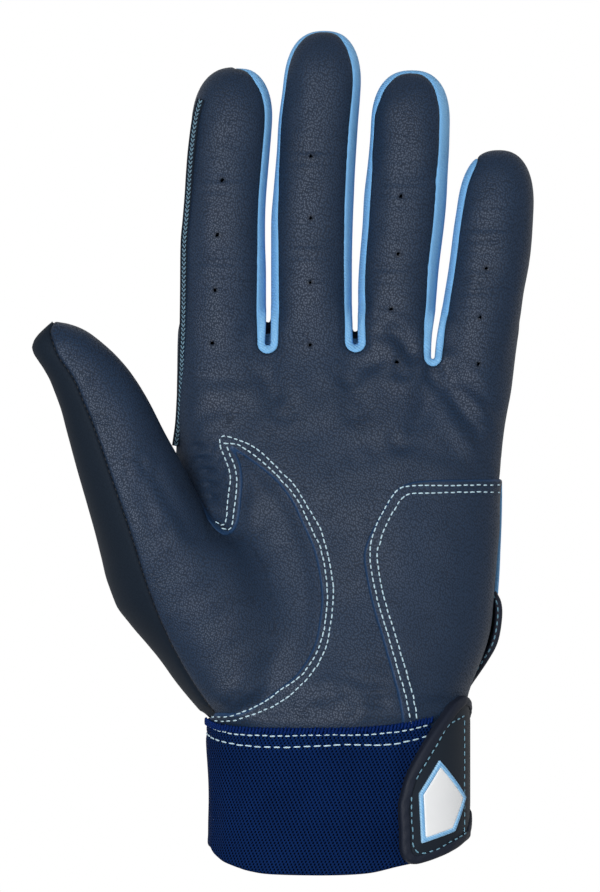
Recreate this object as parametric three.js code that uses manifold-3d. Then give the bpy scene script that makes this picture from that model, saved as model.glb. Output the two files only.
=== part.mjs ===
// A left-hand batting glove, filled out as if worn and lying on its back with the palm up.
// Millimetres. +X runs towards the little finger, +Y towards the fingertips, +Z out of the palm.
import * as THREE from "three";
import { mergeVertices } from "three/addons/utils/BufferGeometryUtils.js";
import Module from "manifold-3d";

// Leather, seams and the room between neighbours.
const leather = 1.2;
const clearance = 0.3;
const overrun = 60; // how far cutting solids run past what they cut
const farOverrun = 120;
const tallOverrun = 180;
const weld = 0.00003; // points nearer than this are one point while cutting
const pieceWeld = 0.001; // and in a finished piece

// The palm, from the cuff seam up to the finger roots.
const palmWidth = 90;
const palmLength = 100;
const palmDepth = 34;
const backSeamHeight = 5.5;

// Elastic cuff.
const cuffLength = 41.5;
const cuffWidth = 68.3;
const cuffDepth = 41;
const cuffWall = 2;
const cuffCentre = 12.95;
const cuffLift = 1.9; // height of its underside above the surface
const hemLength = 6; // how far the leather tucks into the cuff
const cuffOpenWidth = 26; // the gap under the strap, where the hand goes in

// Closure strap and what is sewn to it.
const strapWall = 1.4;
const strapLift = 2.1;
const strapRootHeight = 10;
const strapLap = 1.5;
const strapBaseLift = 0.3;
const strapBaseWall = 1.5;
const strapBaseReach = 12;
const pileWall = 0.6;
const bindingWidth = 3;
const bindingWall = 1.9;
const badgeBorder = 1.2;
const badgeWall = 0.6;

// Heel patch, and the bound edge of the flap that shows beside it.
const patchWall = 1;
const patchSeamHeight = 17;
const flapWall = 1.2;
const flapBindingWidth = 4;
const flapTop = 77;
const flapFoot = 50;
const flapFootHeight = 7;
const flapReach = 26;

// Thumb, measured from the line where it bends.
const thumbWidth = 25;
const thumbLength = 49.5;
const thumbDepth = 23;
const thumbLean = 21.6; // degrees off the fingers' direction
const thumbPlaceX = -40.5;
const thumbPlaceY = 106.4;
const thumbSeamHeight = 28;
const thumbWedge = 45; // length of the back wedge below the bend
const thumbWedgeRight = 9;

// Fingers: length, width and depth at the root, place of the root and lean of each.
const fingerTable = {
  index: {
    length: 74.5, width: 22.8, depth: 20.4, place: [-16.7, 145.5], lean: -2.6,
    left: "wrap", right: "strip", sockets: 30,
  },
  middle: {
    length: 84.5, width: 21.8, depth: 20.8, place: [7.4, 145.5], lean: -2.4,
    left: "strip", right: "strip", sockets: 30,
  },
  ring: {
    length: 74.8, width: 20.6, depth: 20.4, place: [30.4, 144.5], lean: -3.3,
    left: "strip", right: "strip", sockets: 30,
  },
  little: {
    length: 56.5, width: 21, depth: 19.4, place: [52.2, 141.5], lean: -7.8,
    left: "strip", right: "wrap", sockets: 30,
  },
};
const fingerLift = 0.2;
const fingerTaper_share = 0.93;
const fingerDepthTaper_share = 0.8;
const stripInner_share = 0.2; // where a side strip starts, off the finger's middle
const fingerRow_shares = [1 / 3, 2 / 3, 1]; // rings along a finger's straight part
const domeDegrees = [22, 42, 60, 75, 85]; // and round its end
const domeFullness = 0.9;
const fingertipRise = 1.6;
const rightStripStop = 3;
const leftStripStop = 12;
const seamDrop = 5.4; // from the front of a finger down to the seam of its side strip
const crotchDepth = 3.2; // from the roots' line down to the bottom of a crotch
const crotchReach = 3.4; // half the width of a crotch piece
const crotchFloor = 1.5;

// Tables of shares. Rows of the palm: height up the palm, left, right, lowest, highest.
const palm_shares = [
  [0.025, -0.236, 0.508, 0.02, 1.23],
  [0.07, -0.252, 0.53, -0.015, 1.22],
  [0.16, -0.268, 0.565, -0.015, 1.17],
  [0.28, -0.29, 0.61, -0.015, 1.08],
  [0.45, -0.312, 0.64, -0.015, 0.99],
  [0.65, -0.328, 0.652, -0.015, 0.9],
  [0.8, -0.33, 0.668, -0.015, 0.79],
  [0.93, -0.326, 0.69, -0.012, 0.67],
  [1.02, -0.322, 0.692, 0, 0.6],
];
// Rows of the thumb: along it from its bend, left, right, lowest, highest. Rows below 0 are its base.
const thumb_shares = [
  [-1.34, -0.1, 0.6, 0.3, 1.7],
  [-1.22, -0.27, 0.85, 0.1, 1.8],
  [-1.0, -0.4, 1.05, 0.02, 1.84],
  [-0.8, -0.53, 1.1, 0.02, 1.87],
  [-0.57, -0.655, 0.98, 0.1, 1.92],
  [-0.4, -0.655, 0.8, 0.2, 1.96],
  [-0.2, -0.605, 0.65, 0.42, 2.0],
  [0, -0.56, 0.585, 0.66, 2.0],
  [0.2, -0.512, 0.53, 0.82, 1.98],
  [0.4, -0.47, 0.505, 0.92, 1.95],
  [0.57, -0.425, 0.425, 0.98, 1.9],
  [0.71, -0.45, 0.34, 1.04, 1.85],
  [0.82, -0.475, 0.24, 1.08, 1.8],
  [0.91, -0.475, 0.12, 1.12, 1.74],
  [0.97, -0.39, 0, 1.2, 1.64],
  [1.0, -0.22, -0.1, 1.36, 1.5],
];
// Seam of the thumb's side panel: across and along the thumb.
const thumbSeam_shares = [
  [-0.12, -1.45], [-0.2, -1.1], [-0.28, -0.83], [-0.29, -0.57], [-0.25, -0.3],
  [-0.215, 0], [-0.2, 0.3], [-0.195, 0.6], [-0.28, 0.84], [-0.24, 1.1],
];
// The thumb leather's edge on the palm: up from the cuff to its point, then down into the web.
const thumbLeather_shares = [
  [-0.211, 0.026], [-0.118, 0.034], [-0.012, 0.099], [0.046, 0.145], [0.091, 0.216],
  [0.109, 0.298], [0.112, 0.368], [0.091, 0.469], [0.051, 0.551], [-0.024, 0.659],
  [-0.157, 0.749],
];
const thumbWeb_shares = [
  [-0.157, 0.749], [-0.132, 0.7], [-0.13, 0.63], [-0.139, 0.564], [-0.169, 0.515],
  [-0.206, 0.542], [-0.253, 0.602], [-0.281, 0.657], [-0.332, 0.755],
];
const heelPatch_shares = [
  [0.33, 0.01], [0.322, 0.05], [0.29, 0.23], [0.25, 0.38], [0.242, 0.46], [0.27, 0.53],
  [0.302, 0.586], [0.335, 0.642], [0.369, 0.652], [0.56, 0.664],
];
// The strap's tab: across and along the cuff from its lower right corner.
const strap_shares = [
  [0.1, 0.41], [0.02, 0.32], [-0.02, 0.226], [-0.068, 0.17], [-0.142, 0.118], [-0.215, 0.085],
  [-0.247, 0.105], [-0.271, 0.164], [-0.275, 0.308], [-0.279, 0.465], [-0.267, 0.557],
  [-0.239, 0.695], [-0.165, 0.9], [-0.104, 1.04], [-0.06, 1.133], [0.01, 1.18],
  [0.1, 1.19],
];
// Home-plate badge for a hand-written number: across and along the cuff, from the same corner.
const badge_shares = [
  [-0.197, 0.22], [-0.067, 0.298], [-0.025, 0.52], [-0.126, 0.765], [-0.206, 0.545],
];

// Hook and loop patches under the tab, from the same corner.
const pile_shares = [[-0.215, 0.3], [0.05, 0.3], [0.05, 0.88], [-0.11, 0.88], [-0.215, 0.6]];

const palmSquareness = 2.3;
const fingerSquareness = 2.3;
const cuffSquareness = palmSquareness;
const palmSides = 32;
const fingerSides = 18;
const thumbSides = 24;
const cuffSides = palmSides;
const edgeSteps = 16;
const longEdgeSteps = 32;
const miterLimit = 2;

const wasm = await Module();
wasm.setup();

/** A closed geometry as a solid that can be cut and joined. */
function solid(geometry, nearest = weld) {
  const plain = geometry.index ? geometry.toNonIndexed() : geometry.clone();
  plain.deleteAttribute("normal");
  plain.deleteAttribute("uv");
  const merged = mergeVertices(plain, nearest);
  return new wasm.Manifold(
    new wasm.Mesh({
      numProp: 3,
      vertProperties: merged.attributes.position.array,
      triVerts: new Uint32Array(merged.index.array),
    }),
  );
}

/** A solid as a geometry. */
function geometryOf(shape) {
  const source = shape.getMesh();
  const points = new Float32Array(source.numVert * 3);
  for (let i = 0; i < source.numVert; i++) {
    const from = i * source.numProp;
    points.set(source.vertProperties.subarray(from, from + 3), i * 3);
  }
  const geometry = new THREE.BufferGeometry();
  geometry.setAttribute("position", new THREE.BufferAttribute(points, 3));
  geometry.setIndex(new THREE.BufferAttribute(new Uint32Array(source.triVerts), 1));
  return geometry;
}

/** The largest body of a solid: the crumbs that two crossing cuts leave are trimmed away. */
function largestBody(shape) {
  return shape.decompose().reduce((a, b) => (b.volume() > a.volume() ? b : a));
}

/** A named mesh of a solid, with its finish. */
function pieceMesh(name, shape, finish) {
  const welded = solid(geometryOf(largestBody(shape)), pieceWeld);
  const geometry = geometryOf(largestBody(welded));
  const mesh = new THREE.Mesh(geometry, new THREE.MeshStandardMaterial(finish));
  mesh.name = name;
  return mesh;
}

/** One superellipse ring, square to Y, of the given number of sides. */
function ringPoints({ y, left, right, low, high }, sides, squareness) {
  const points = [];
  for (let k = 0; k < sides; k++) {
    const angle = (2 * Math.PI * (k + 0.5)) / sides;
    const c = Math.cos(angle);
    const s = Math.sin(angle);
    points.push(
      (left + right) / 2 + ((right - left) / 2) * Math.sign(c) * Math.abs(c) ** (2 / squareness),
      y,
      (low + high) / 2 + ((high - low) / 2) * Math.sign(s) * Math.abs(s) ** (2 / squareness),
    );
  }
  return points;
}

/** A solid through rings in order of Y, closed by a fan at each end. */
function loft(rings, sides, squareness) {
  const points = rings.flatMap((ring) => ringPoints(ring, sides, squareness));
  const faces = [];
  for (let r = 0; r + 1 < rings.length; r++) {
    for (let k = 0; k < sides; k++) {
      const a = r * sides + k;
      const b = r * sides + ((k + 1) % sides);
      faces.push(a, a + sides, b, b, a + sides, b + sides);
    }
  }
  for (const [ring, first] of [[rings[0], 0], [rings.at(-1), (rings.length - 1) * sides]]) {
    const centre = points.length / 3;
    points.push((ring.left + ring.right) / 2, ring.y, (ring.low + ring.high) / 2);
    for (let k = 0; k < sides; k++) {
      const a = first + k;
      const b = first + ((k + 1) % sides);
      faces.push(...(first ? [b, a, centre] : [a, b, centre]));
    }
  }
  const geometry = new THREE.BufferGeometry();
  geometry.setAttribute("position", new THREE.BufferAttribute(new Float32Array(points), 3));
  geometry.setIndex(faces);
  return solid(geometry);
}

/** The same rings drawn in by a wall all round. */
function inset(rings, wall) {
  return rings.map((r) => ({
    y: r.y,
    left: r.left + wall,
    right: r.right - wall,
    low: r.low + wall,
    high: r.high - wall,
  }));
}

/** A block from one corner to the opposite one. */
function block(low, high) {
  const size = high.map((v, i) => v - low[i]);
  const box = new THREE.BoxGeometry(...size);
  box.translate(...low.map((v, i) => v + size[i] / 2));
  return solid(box);
}

/** An upright prism over an outline in XY, from z low to z high. */
function prism(outline, low, high) {
  const shape = new THREE.Shape(outline.map(([x, y]) => new THREE.Vector2(x, y)));
  const geometry = new THREE.ExtrudeGeometry(shape, {
    depth: high - low,
    bevelEnabled: false,
  });
  geometry.translate(0, 0, low);
  return solid(geometry);
}

/** A smooth line through a few places. */
function smooth(places, steps = edgeSteps) {
  const curve = new THREE.SplineCurve(places.map(([x, y]) => new THREE.Vector2(x, y)));
  return curve.getPoints(steps).map((p) => [p.x, p.y]);
}

/** An outline moved outwards by a distance, or inwards where it is negative. */
function grown(outline, distance) {
  const moved = new wasm.CrossSection([outline], "NonZero").offset(distance, "Miter", miterLimit);
  const rings = moved.toPolygons();
  const sizeOf = (ring) => Math.abs(THREE.ShapeUtils.area(ring.map(([x, y]) => ({ x, y }))));
  return rings.reduce((a, b) => (sizeOf(b) > sizeOf(a) ? b : a));
}

/** An upright wall that follows a line in XY, with some room on each side: it cuts a seam. */
function seamWall(line, room) {
  let wall = null;
  for (let i = 0; i + 1 < line.length; i++) {
    const [ax, ay] = line[i];
    const [bx, by] = line[i + 1];
    const along = new THREE.Vector2(bx - ax, by - ay);
    const box = new THREE.BoxGeometry(along.length() + 2 * room, 2 * room, tallOverrun + overrun);
    box.rotateZ(along.angle());
    box.translate((ax + bx) / 2, (ay + by) / 2, 0);
    wall = wall ? wall.add(solid(box)) : solid(box);
  }
  return wall;
}

const above = (z) => block([-tallOverrun, -tallOverrun, z], [tallOverrun, tallOverrun, tallOverrun]);

// A finger, in its own frame: the origin is on its root's plane, above the resting surface.
function fingerRings(f, wall, from) {
  const dome = (f.width * fingerTaper_share) / 2;
  const straight = f.length - dome;
  const ringAt = (y, swell) => {
    const along = Math.min(Math.max(y / f.length, 0), 1);
    const half = ((f.width / 2) * (1 + (fingerTaper_share - 1) * along) - wall) * swell;
    const low = fingerLift + fingertipRise * along ** 2;
    const depth = f.depth * (1 + (fingerDepthTaper_share - 1) * along);
    const centre = low + depth / 2;
    const halfDepth = (depth / 2 - wall) * swell;
    return { y, left: -half, right: half, low: centre - halfDepth, high: centre + halfDepth };
  };
  const rings = [from, ...fingerRow_shares.map((t) => straight * t)].map((y) => ringAt(y, 1));
  for (const degrees of domeDegrees) {
    const angle = THREE.MathUtils.degToRad(degrees);
    const swell = Math.cos(angle) ** domeFullness;
    rings.push(ringAt(straight + (dome - wall) * Math.sin(angle), swell));
  }
  return rings;
}

const fingerShape = (f, wall, from) =>
  loft(fingerRings(f, wall, from), fingerSides, fingerSquareness);

/** The boxes of a finger's side strips, in the finger's frame, opened by some room. */
function stripBoxes(f, room) {
  const low = backSeamHeight + clearance - room;
  const middleDepth = (f.depth * (1 + fingerDepthTaper_share)) / 2;
  const high = fingerLift + middleDepth - seamDrop + room;
  const inner = f.width * stripInner_share - room;
  const boxes = {};
  if (f.right === "strip") {
    boxes.right = block([inner, -room, low], [overrun, f.length - rightStripStop + room, high]);
  }
  if (f.left === "strip") {
    boxes.left = block([-overrun, -room, low], [-inner, f.length - leftStripStop + room, high]);
  }
  return boxes;
}

const finishes = {
  navyLeather: { color: 0x333e4d, roughness: 0.55, metalness: 0 },
  darkLeather: { color: 0x232c38, roughness: 0.4, metalness: 0 },
  skyLeather: { color: 0x76baec, roughness: 0.6, metalness: 0 },
  knit: { color: 0x0a1b3c, roughness: 0.9, metalness: 0 },
  pile: { color: 0x11151b, roughness: 0.95, metalness: 0 },
  badge: { color: 0xdddfe1, roughness: 0.45, metalness: 0 },
};

/** The nested group of a finger or the thumb: at its root, turned to its lean. */
function rootGroup(place, lean) {
  const group = new THREE.Group();
  group.position.set(place[0], place[1], 0);
  group.rotation.z = THREE.MathUtils.degToRad(lean);
  return group;
}

function fingerGroup(name, f) {
  const group = rootGroup(f.place, f.lean);
  const shell = fingerShape(f, 0, 0).subtract(fingerShape(f, leather, -overrun));
  const strips = stripBoxes(f, 0);
  const back = shell.subtract(above(backSeamHeight));
  let front = shell.intersect(above(backSeamHeight + clearance));
  for (const cut of Object.values(stripBoxes(f, clearance))) front = front.subtract(cut);
  group.add(pieceMesh(name + "_front", front, finishes.navyLeather));
  group.add(pieceMesh(name + "_back", back, finishes.navyLeather));
  for (const [side, box] of Object.entries(strips)) {
    const strip = shell.intersect(box);
    group.add(pieceMesh(name + "_" + side + "_side", strip, finishes.skyLeather));
  }
  return group;
}

// The thumb's rings follow its own frame: the origin on its bend, Y along it.
function thumbRings(wall) {
  const rows = thumb_shares.map(([y, left, right, low, high]) => ({
    y: y * thumbLength,
    left: left * thumbWidth,
    right: right * thumbWidth,
    low: low * thumbDepth,
    high: high * thumbDepth,
  }));
  if (!wall) return rows;
  const kept = rows.slice(0, -2);
  return inset(kept, wall);
}

const thumbShape = (wall) => loft(thumbRings(wall), thumbSides, fingerSquareness);

function thumbSideOutline(room) {
  const seam = smooth(
    thumbSeam_shares.map(([x, y]) => [x * thumbWidth + room, y * thumbLength]),
  );
  return [...seam, [-overrun, seam.at(-1)[1]], [-overrun, seam[0][1]]];
}

function thumbGroup() {
  const group = rootGroup([thumbPlaceX, thumbPlaceY], thumbLean);
  const beyond = block([-overrun, 0, -overrun], [overrun, farOverrun, farOverrun]);
  const shell = thumbShape(0).subtract(thumbShape(leather)).intersect(beyond);
  const upper = shell.intersect(above(thumbSeamHeight + clearance));
  const side = prism(thumbSideOutline(0), -overrun, farOverrun);
  const keep = prism(thumbSideOutline(clearance), -overrun, farOverrun);
  group.add(pieceMesh("thumb_front", upper.subtract(keep), finishes.navyLeather));
  group.add(pieceMesh("thumb_side", upper.intersect(side), finishes.darkLeather));
  const back = shell.subtract(above(thumbSeamHeight));
  group.add(pieceMesh("thumb_back", back, finishes.navyLeather));
  return group;
}

/** Places a solid made in a finger's or the thumb's frame into the glove's frame. */
function placed(shape, place, lean) {
  return shape.rotate([0, 0, lean]).translate([place[0], place[1], 0]);
}

// The palm, with the sockets that the fingers and the thumb bend on.
const palmPlace = ([x, y]) => [x * palmWidth, cuffLength + y * palmLength];

function cuffRings(offset) {
  const low = cuffLift - offset;
  const high = cuffLift + cuffDepth + offset;
  const left = cuffCentre - cuffWidth / 2 - offset;
  const right = cuffCentre + cuffWidth / 2 + offset;
  return { left, right, low, high };
}

function palmRings() {
  const tucked = cuffRings(-cuffWall - clearance);
  const rows = palm_shares.map(([y, left, right, low, high]) => ({
    y: cuffLength + y * palmLength,
    left: left * palmWidth,
    right: right * palmWidth,
    low: low * palmDepth,
    high: high * palmDepth,
  }));
  return [
    { y: cuffLength - hemLength, ...tucked },
    { y: cuffLength + clearance, ...tucked },
    ...rows,
  ];
}

/** All below a line that runs under the finger roots, lowered by a wall. */
function belowRoots(wall) {
  const drop = crotchDepth + crotchFloor + wall;
  const roots = Object.values(fingerTable).map((f) => f.place);
  const first = [-farOverrun, roots[0][1] - drop];
  const last = [tallOverrun, roots.at(-1)[1] - drop];
  const outline = [first];
  for (let i = 0; i + 1 < roots.length; i++) {
    const [a, b] = [roots[i], roots[i + 1]];
    outline.push([(a[0] + b[0]) / 2, Math.min(a[1], b[1]) - drop]);
  }
  outline.push(last, [tallOverrun, -overrun], [-farOverrun, -overrun]);
  return prism(outline, -overrun, farOverrun);
}

function socket(f, wall, end) {
  const stub = fingerShape(f, wall, -f.sockets);
  const cut = block([-overrun, -farOverrun, -overrun], [overrun, end, overrun]);
  return placed(stub.intersect(cut), f.place, f.lean);
}

function palmSolid(wall) {
  const rings = inset(palmRings(), wall);
  if (wall) rings[0].y -= overrun;
  let made = loft(rings, palmSides, palmSquareness).intersect(belowRoots(wall));
  for (const f of Object.values(fingerTable)) {
    made = made.add(socket(f, wall, wall ? overrun : -clearance));
  }
  const beyond = block([-overrun, -tallOverrun, -overrun], [overrun, -clearance, farOverrun]);
  const thumb = wall ? thumbShape(wall) : thumbShape(0).intersect(beyond);
  return made.add(placed(thumb, [thumbPlaceX, thumbPlaceY], thumbLean));
}

/** The crotch between two neighbouring fingers: a block that takes in both walls. */
function crotchBlock(a, b, room) {
  const x = (a.place[0] + a.width / 2 + b.place[0] - b.width / 2) / 2;
  const y = Math.min(a.place[1], b.place[1]) - crotchDepth - crotchFloor - leather - room;
  const high = fingerLift + Math.min(a.depth, b.depth) - seamDrop - clearance + room;
  return block(
    [x - crotchReach - room, y, backSeamHeight + clearance - room],
    [x + crotchReach + room, y + overrun, high],
  );
}

/** A layer that lies over the palm's leather, from one height above it to another. */
function layerOverPalm(from, to) {
  const rings = palmRings();
  const outer = loft(inset(rings, -to), palmSides, palmSquareness);
  return outer.subtract(loft(inset(rings, -from), palmSides, palmSquareness));
}

/** A layer that lies over the cuff, along a length that covers every outline on it. */
function layerOverCuff(from, to) {
  const sleeve = (offset) => {
    const section = cuffRings(offset);
    return loft(
      [{ y: -overrun, ...section }, { y: cuffLength + overrun, ...section }],
      cuffSides,
      cuffSquareness,
    );
  };
  return sleeve(to).subtract(sleeve(from));
}

function palmPieces() {
  const shell = palmSolid(0).subtract(palmSolid(leather)).intersect(above(0));
  const back = shell.subtract(above(backSeamHeight));
  let front = shell.intersect(above(backSeamHeight + clearance));

  // Crotch pieces.
  const pieces = [];
  const fingers = Object.entries(fingerTable);
  for (let i = 0; i + 1 < fingers.length; i++) {
    const [[nameA, a], [nameB, b]] = [fingers[i], fingers[i + 1]];
    const crotch = front.intersect(crotchBlock(a, b, 0));
    pieces.push(pieceMesh(nameA + "_" + nameB + "_crotch", crotch, finishes.skyLeather));
    front = front.subtract(crotchBlock(a, b, clearance));
  }

  // Thumb leather, side panel and the wedge behind them.
  const edge = smooth(thumbLeather_shares.map(palmPlace), longEdgeSteps);
  const web = smooth(thumbWeb_shares.map(palmPlace));
  const leatherOutline = [
    ...edge,
    ...web.slice(1),
    [-farOverrun, web.at(-1)[1] + clearance],
    [-farOverrun, cuffLength - hemLength * 2],
    [edge[0][0] - clearance, cuffLength - hemLength * 2],
  ];
  const thumbArea = prism(leatherOutline, -overrun, farOverrun);
  const thumbSeam = seamWall([...leatherOutline, leatherOutline[0]], clearance);
  const place = [thumbPlaceX, thumbPlaceY];
  const sideArea = placed(prism(thumbSideOutline(0), -overrun, farOverrun), place, thumbLean);
  const sideKeep = prism(thumbSideOutline(clearance), -overrun, farOverrun);
  const base = front.intersect(thumbArea);
  const wedgeShape = (room) => {
    const outline = new THREE.Shape([
      new THREE.Vector2(overrun, thumbSeamHeight + room),
      new THREE.Vector2(0, thumbSeamHeight + room),
      new THREE.Vector2(-thumbWedge, backSeamHeight + room),
      new THREE.Vector2(-thumbWedge, -overrun),
      new THREE.Vector2(overrun, -overrun),
    ]);
    const geometry = new THREE.ExtrudeGeometry(outline, {
      depth: overrun + thumbWedgeRight + room,
      bevelEnabled: false,
    });
    geometry.rotateY(Math.PI / 2);
    geometry.rotateX(Math.PI / 2);
    geometry.translate(-overrun, 0, 0);
    return placed(solid(geometry), place, thumbLean);
  };
  const upper = base.subtract(wedgeShape(clearance));
  const thenar = upper.subtract(placed(sideKeep, place, thumbLean));
  const side = upper.intersect(sideArea);
  const wedge = base.intersect(wedgeShape(0));
  pieces.push(pieceMesh("thumb_palm_leather", thenar, finishes.navyLeather));
  pieces.push(pieceMesh("thumb_base_side", side, finishes.darkLeather));
  pieces.push(pieceMesh("thumb_base_back", wedge, finishes.navyLeather));
  const palm = front.subtract(thumbArea).subtract(thumbSeam);
  pieces.push(pieceMesh("palm_leather", palm, finishes.navyLeather));
  pieces.push(pieceMesh("back_leather", back, finishes.navyLeather));

  // Heel patch, laid over the palm leather and sewn round its edge.
  const patchEdge = smooth(heelPatch_shares.map(palmPlace), edgeSteps);
  const patchOutline = [
    ...patchEdge,
    [farOverrun, patchEdge.at(-1)[1]],
    [farOverrun, patchEdge[0][1]],
  ];
  const patch = layerOverPalm(clearance, clearance + patchWall)
    .intersect(prism(patchOutline, patchSeamHeight, farOverrun));
  pieces.push(pieceMesh("heel_patch", patch, finishes.navyLeather));

  // The flap of the back that wraps the little-finger edge, and its bound edge.
  const bindingTop = patchSeamHeight - clearance;
  const bindingFoot = bindingTop - flapBindingWidth;
  const flap = layerOverPalm(clearance, clearance + flapWall).intersect(
    block([flapReach, flapFoot, flapFootHeight], [farOverrun, flapTop, bindingFoot - clearance]),
  );
  const bound = layerOverPalm(clearance, clearance + flapWall + leather).intersect(
    block([flapReach, flapFoot, bindingFoot], [farOverrun, flapTop, bindingTop]),
  );
  pieces.push(pieceMesh("back_flap", flap, finishes.darkLeather));
  pieces.push(pieceMesh("flap_binding", bound, finishes.darkLeather));
  return pieces;
}

const strapCorner = [cuffCentre + cuffWidth / 2 + strapLift + strapWall, 0];
const cuffPlace = ([x, y]) => [strapCorner[0] + x * cuffWidth, y * cuffLength];

function cuffPieces() {
  // The elastic band: a sleeve with a gap at the little-finger edge, where the hand goes in.
  const bandEnd = strapRootHeight + cuffOpenWidth;
  const gap = block(
    [cuffCentre + cuffWidth / 4, -overrun, strapRootHeight],
    [farOverrun, farOverrun, bandEnd],
  );
  const length = block([-farOverrun, 0, -overrun], [farOverrun, cuffLength, farOverrun]);
  const band = layerOverCuff(-cuffWall, 0).intersect(length).subtract(gap);

  // Tab, its bound edge, the hook and loop pile beneath it, and the badge.
  const tab = smooth(strap_shares.map(cuffPlace), longEdgeSteps);
  const tabOutline = [...tab, [farOverrun, tab.at(-1)[1]], [farOverrun, tab[0][1]]];
  const shortTab = grown(tabOutline, -bindingWidth);
  const faceLayer = layerOverCuff(strapLift, strapLift + strapWall);
  const edgeLayer = layerOverCuff(strapLift, strapLift + bindingWall);
  const overRoot = above(strapRootHeight);
  const face = faceLayer.intersect(prism(shortTab, -overrun, farOverrun)).intersect(overRoot);
  const bound = edgeLayer
    .intersect(prism(tabOutline, -overrun, farOverrun))
    .subtract(prism(grown(tabOutline, clearance - bindingWidth), -overrun, farOverrun))
    .intersect(overRoot);
  const pileArea = prism(pile_shares.map(cuffPlace), bandEnd + clearance, farOverrun);
  const loopLayer = layerOverCuff(clearance, clearance + pileWall);
  const hookLayer = layerOverCuff(strapLift - clearance - pileWall, strapLift - clearance);
  const within = block([-overrun, 0, 0], [farOverrun, cuffLength - clearance, farOverrun]);

  const baseArea = block(
    [cuffCentre - strapBaseReach, tab[0][1], -overrun],
    [farOverrun, cuffLength, strapRootHeight + strapLap],
  );
  const strapBase = layerOverCuff(strapBaseLift, strapBaseLift + strapBaseWall)
    .intersect(baseArea)
    .intersect(above(0));

  const plate = badge_shares.map(cuffPlace);
  const badgeLayer = layerOverCuff(
    strapLift + strapWall + clearance,
    strapLift + strapWall + clearance + badgeWall,
  ).intersect(above(cuffLift + cuffDepth / 2));
  const plateArea = prism(plate, 0, farOverrun);
  const border = badgeLayer
    .intersect(prism(grown(plate, badgeBorder), 0, farOverrun))
    .subtract(prism(grown(plate, clearance), -overrun, tallOverrun));
  return {
    fixed: [
      pieceMesh("cuff_band", band, finishes.knit),
      pieceMesh("loop_patch", loopLayer.intersect(pileArea).intersect(within), finishes.pile),
      pieceMesh("strap_base", strapBase, finishes.darkLeather),
    ],
    strap: [
      pieceMesh("closure_strap", face, finishes.darkLeather),
      pieceMesh("strap_binding", bound, finishes.darkLeather),
      pieceMesh("hook_patch", hookLayer.intersect(pileArea).intersect(within), finishes.pile),
      pieceMesh("badge_border", border, finishes.skyLeather),
      pieceMesh("badge_plate", badgeLayer.intersect(plateArea), finishes.badge),
    ],
  };
}

const glove = new THREE.Group();
for (const mesh of palmPieces()) glove.add(mesh);
const cuff = cuffPieces();
for (const mesh of cuff.fixed) glove.add(mesh);
const strap = new THREE.Group();
for (const mesh of cuff.strap) strap.add(mesh);
glove.add(strap);
for (const [name, f] of Object.entries(fingerTable)) glove.add(fingerGroup(name, f));
glove.add(thumbGroup());

// The frame's origin is below the middle of the whole glove, on the surface it lies on.
const bounds = new THREE.Box3().setFromObject(glove);
const middle = bounds.getCenter(new THREE.Vector3());
glove.position.set(-middle.x, -middle.y, -bounds.min.z);

export default glove;
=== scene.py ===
"""A left-hand batting glove, dressed: leather panels, threads, a knitted cuff and a closure strap.

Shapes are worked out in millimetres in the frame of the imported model: +X towards the little
finger, +Y towards the fingertips, +Z out of the palm. Outlines seen in the photograph are named
tables of its pixels, and at() places them in that frame.
"""
import logging
import math
from collections.abc import Callable
from dataclasses import dataclass, field
from enum import Enum
from functools import cached_property
from typing import Any

import bpy
import numpy as np
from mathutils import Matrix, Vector


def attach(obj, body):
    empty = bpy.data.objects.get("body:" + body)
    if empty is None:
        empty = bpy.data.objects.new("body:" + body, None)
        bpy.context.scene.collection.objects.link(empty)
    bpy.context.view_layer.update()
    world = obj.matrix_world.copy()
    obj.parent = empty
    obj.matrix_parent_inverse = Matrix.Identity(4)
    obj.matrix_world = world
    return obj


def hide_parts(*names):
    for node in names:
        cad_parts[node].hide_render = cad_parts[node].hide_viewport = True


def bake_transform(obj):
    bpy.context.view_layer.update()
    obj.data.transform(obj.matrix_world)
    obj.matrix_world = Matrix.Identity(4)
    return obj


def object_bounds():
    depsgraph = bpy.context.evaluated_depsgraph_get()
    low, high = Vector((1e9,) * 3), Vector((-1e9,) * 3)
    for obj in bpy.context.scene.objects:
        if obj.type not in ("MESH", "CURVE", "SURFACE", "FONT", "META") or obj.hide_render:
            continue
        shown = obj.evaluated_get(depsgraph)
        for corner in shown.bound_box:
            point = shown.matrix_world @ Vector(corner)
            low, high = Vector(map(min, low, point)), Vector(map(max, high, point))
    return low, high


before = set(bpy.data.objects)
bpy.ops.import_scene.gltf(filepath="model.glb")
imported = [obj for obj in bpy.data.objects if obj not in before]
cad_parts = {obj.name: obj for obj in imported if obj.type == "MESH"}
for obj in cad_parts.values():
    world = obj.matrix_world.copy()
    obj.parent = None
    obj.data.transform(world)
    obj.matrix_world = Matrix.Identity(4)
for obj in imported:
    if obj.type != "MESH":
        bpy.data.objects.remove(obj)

CAD_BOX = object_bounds()
LOG = logging.getLogger("glove")

Array = np.ndarray
Measure = Callable[[Array], Array]

# The photograph: its frame, the size of a pixel and the pixel that lies over the origin.
PHOTO_SIZE = (600, 892)
PIXEL = 0.272
PHOTO_ORIGIN = (281.48, 452.6)
MILLIMETRE = 0.001
UP = np.array([0.0, 0.0, 1.0])


def at(pixels: Any) -> Array:
    """Places pixels of the photograph in the glove's frame.

    Args:
        pixels: rows of (x, y) pixels.
    Returns:
        Rows of (X, Y) in millimetres.
    """
    rows = np.asarray(pixels, float)
    return (rows - PHOTO_ORIGIN) * (PIXEL, -PIXEL)


def pixels_at(xy: Array) -> Array:
    """The pixels of the photograph that lie over places in the frame."""
    return xy / (PIXEL, -PIXEL) + PHOTO_ORIGIN


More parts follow.
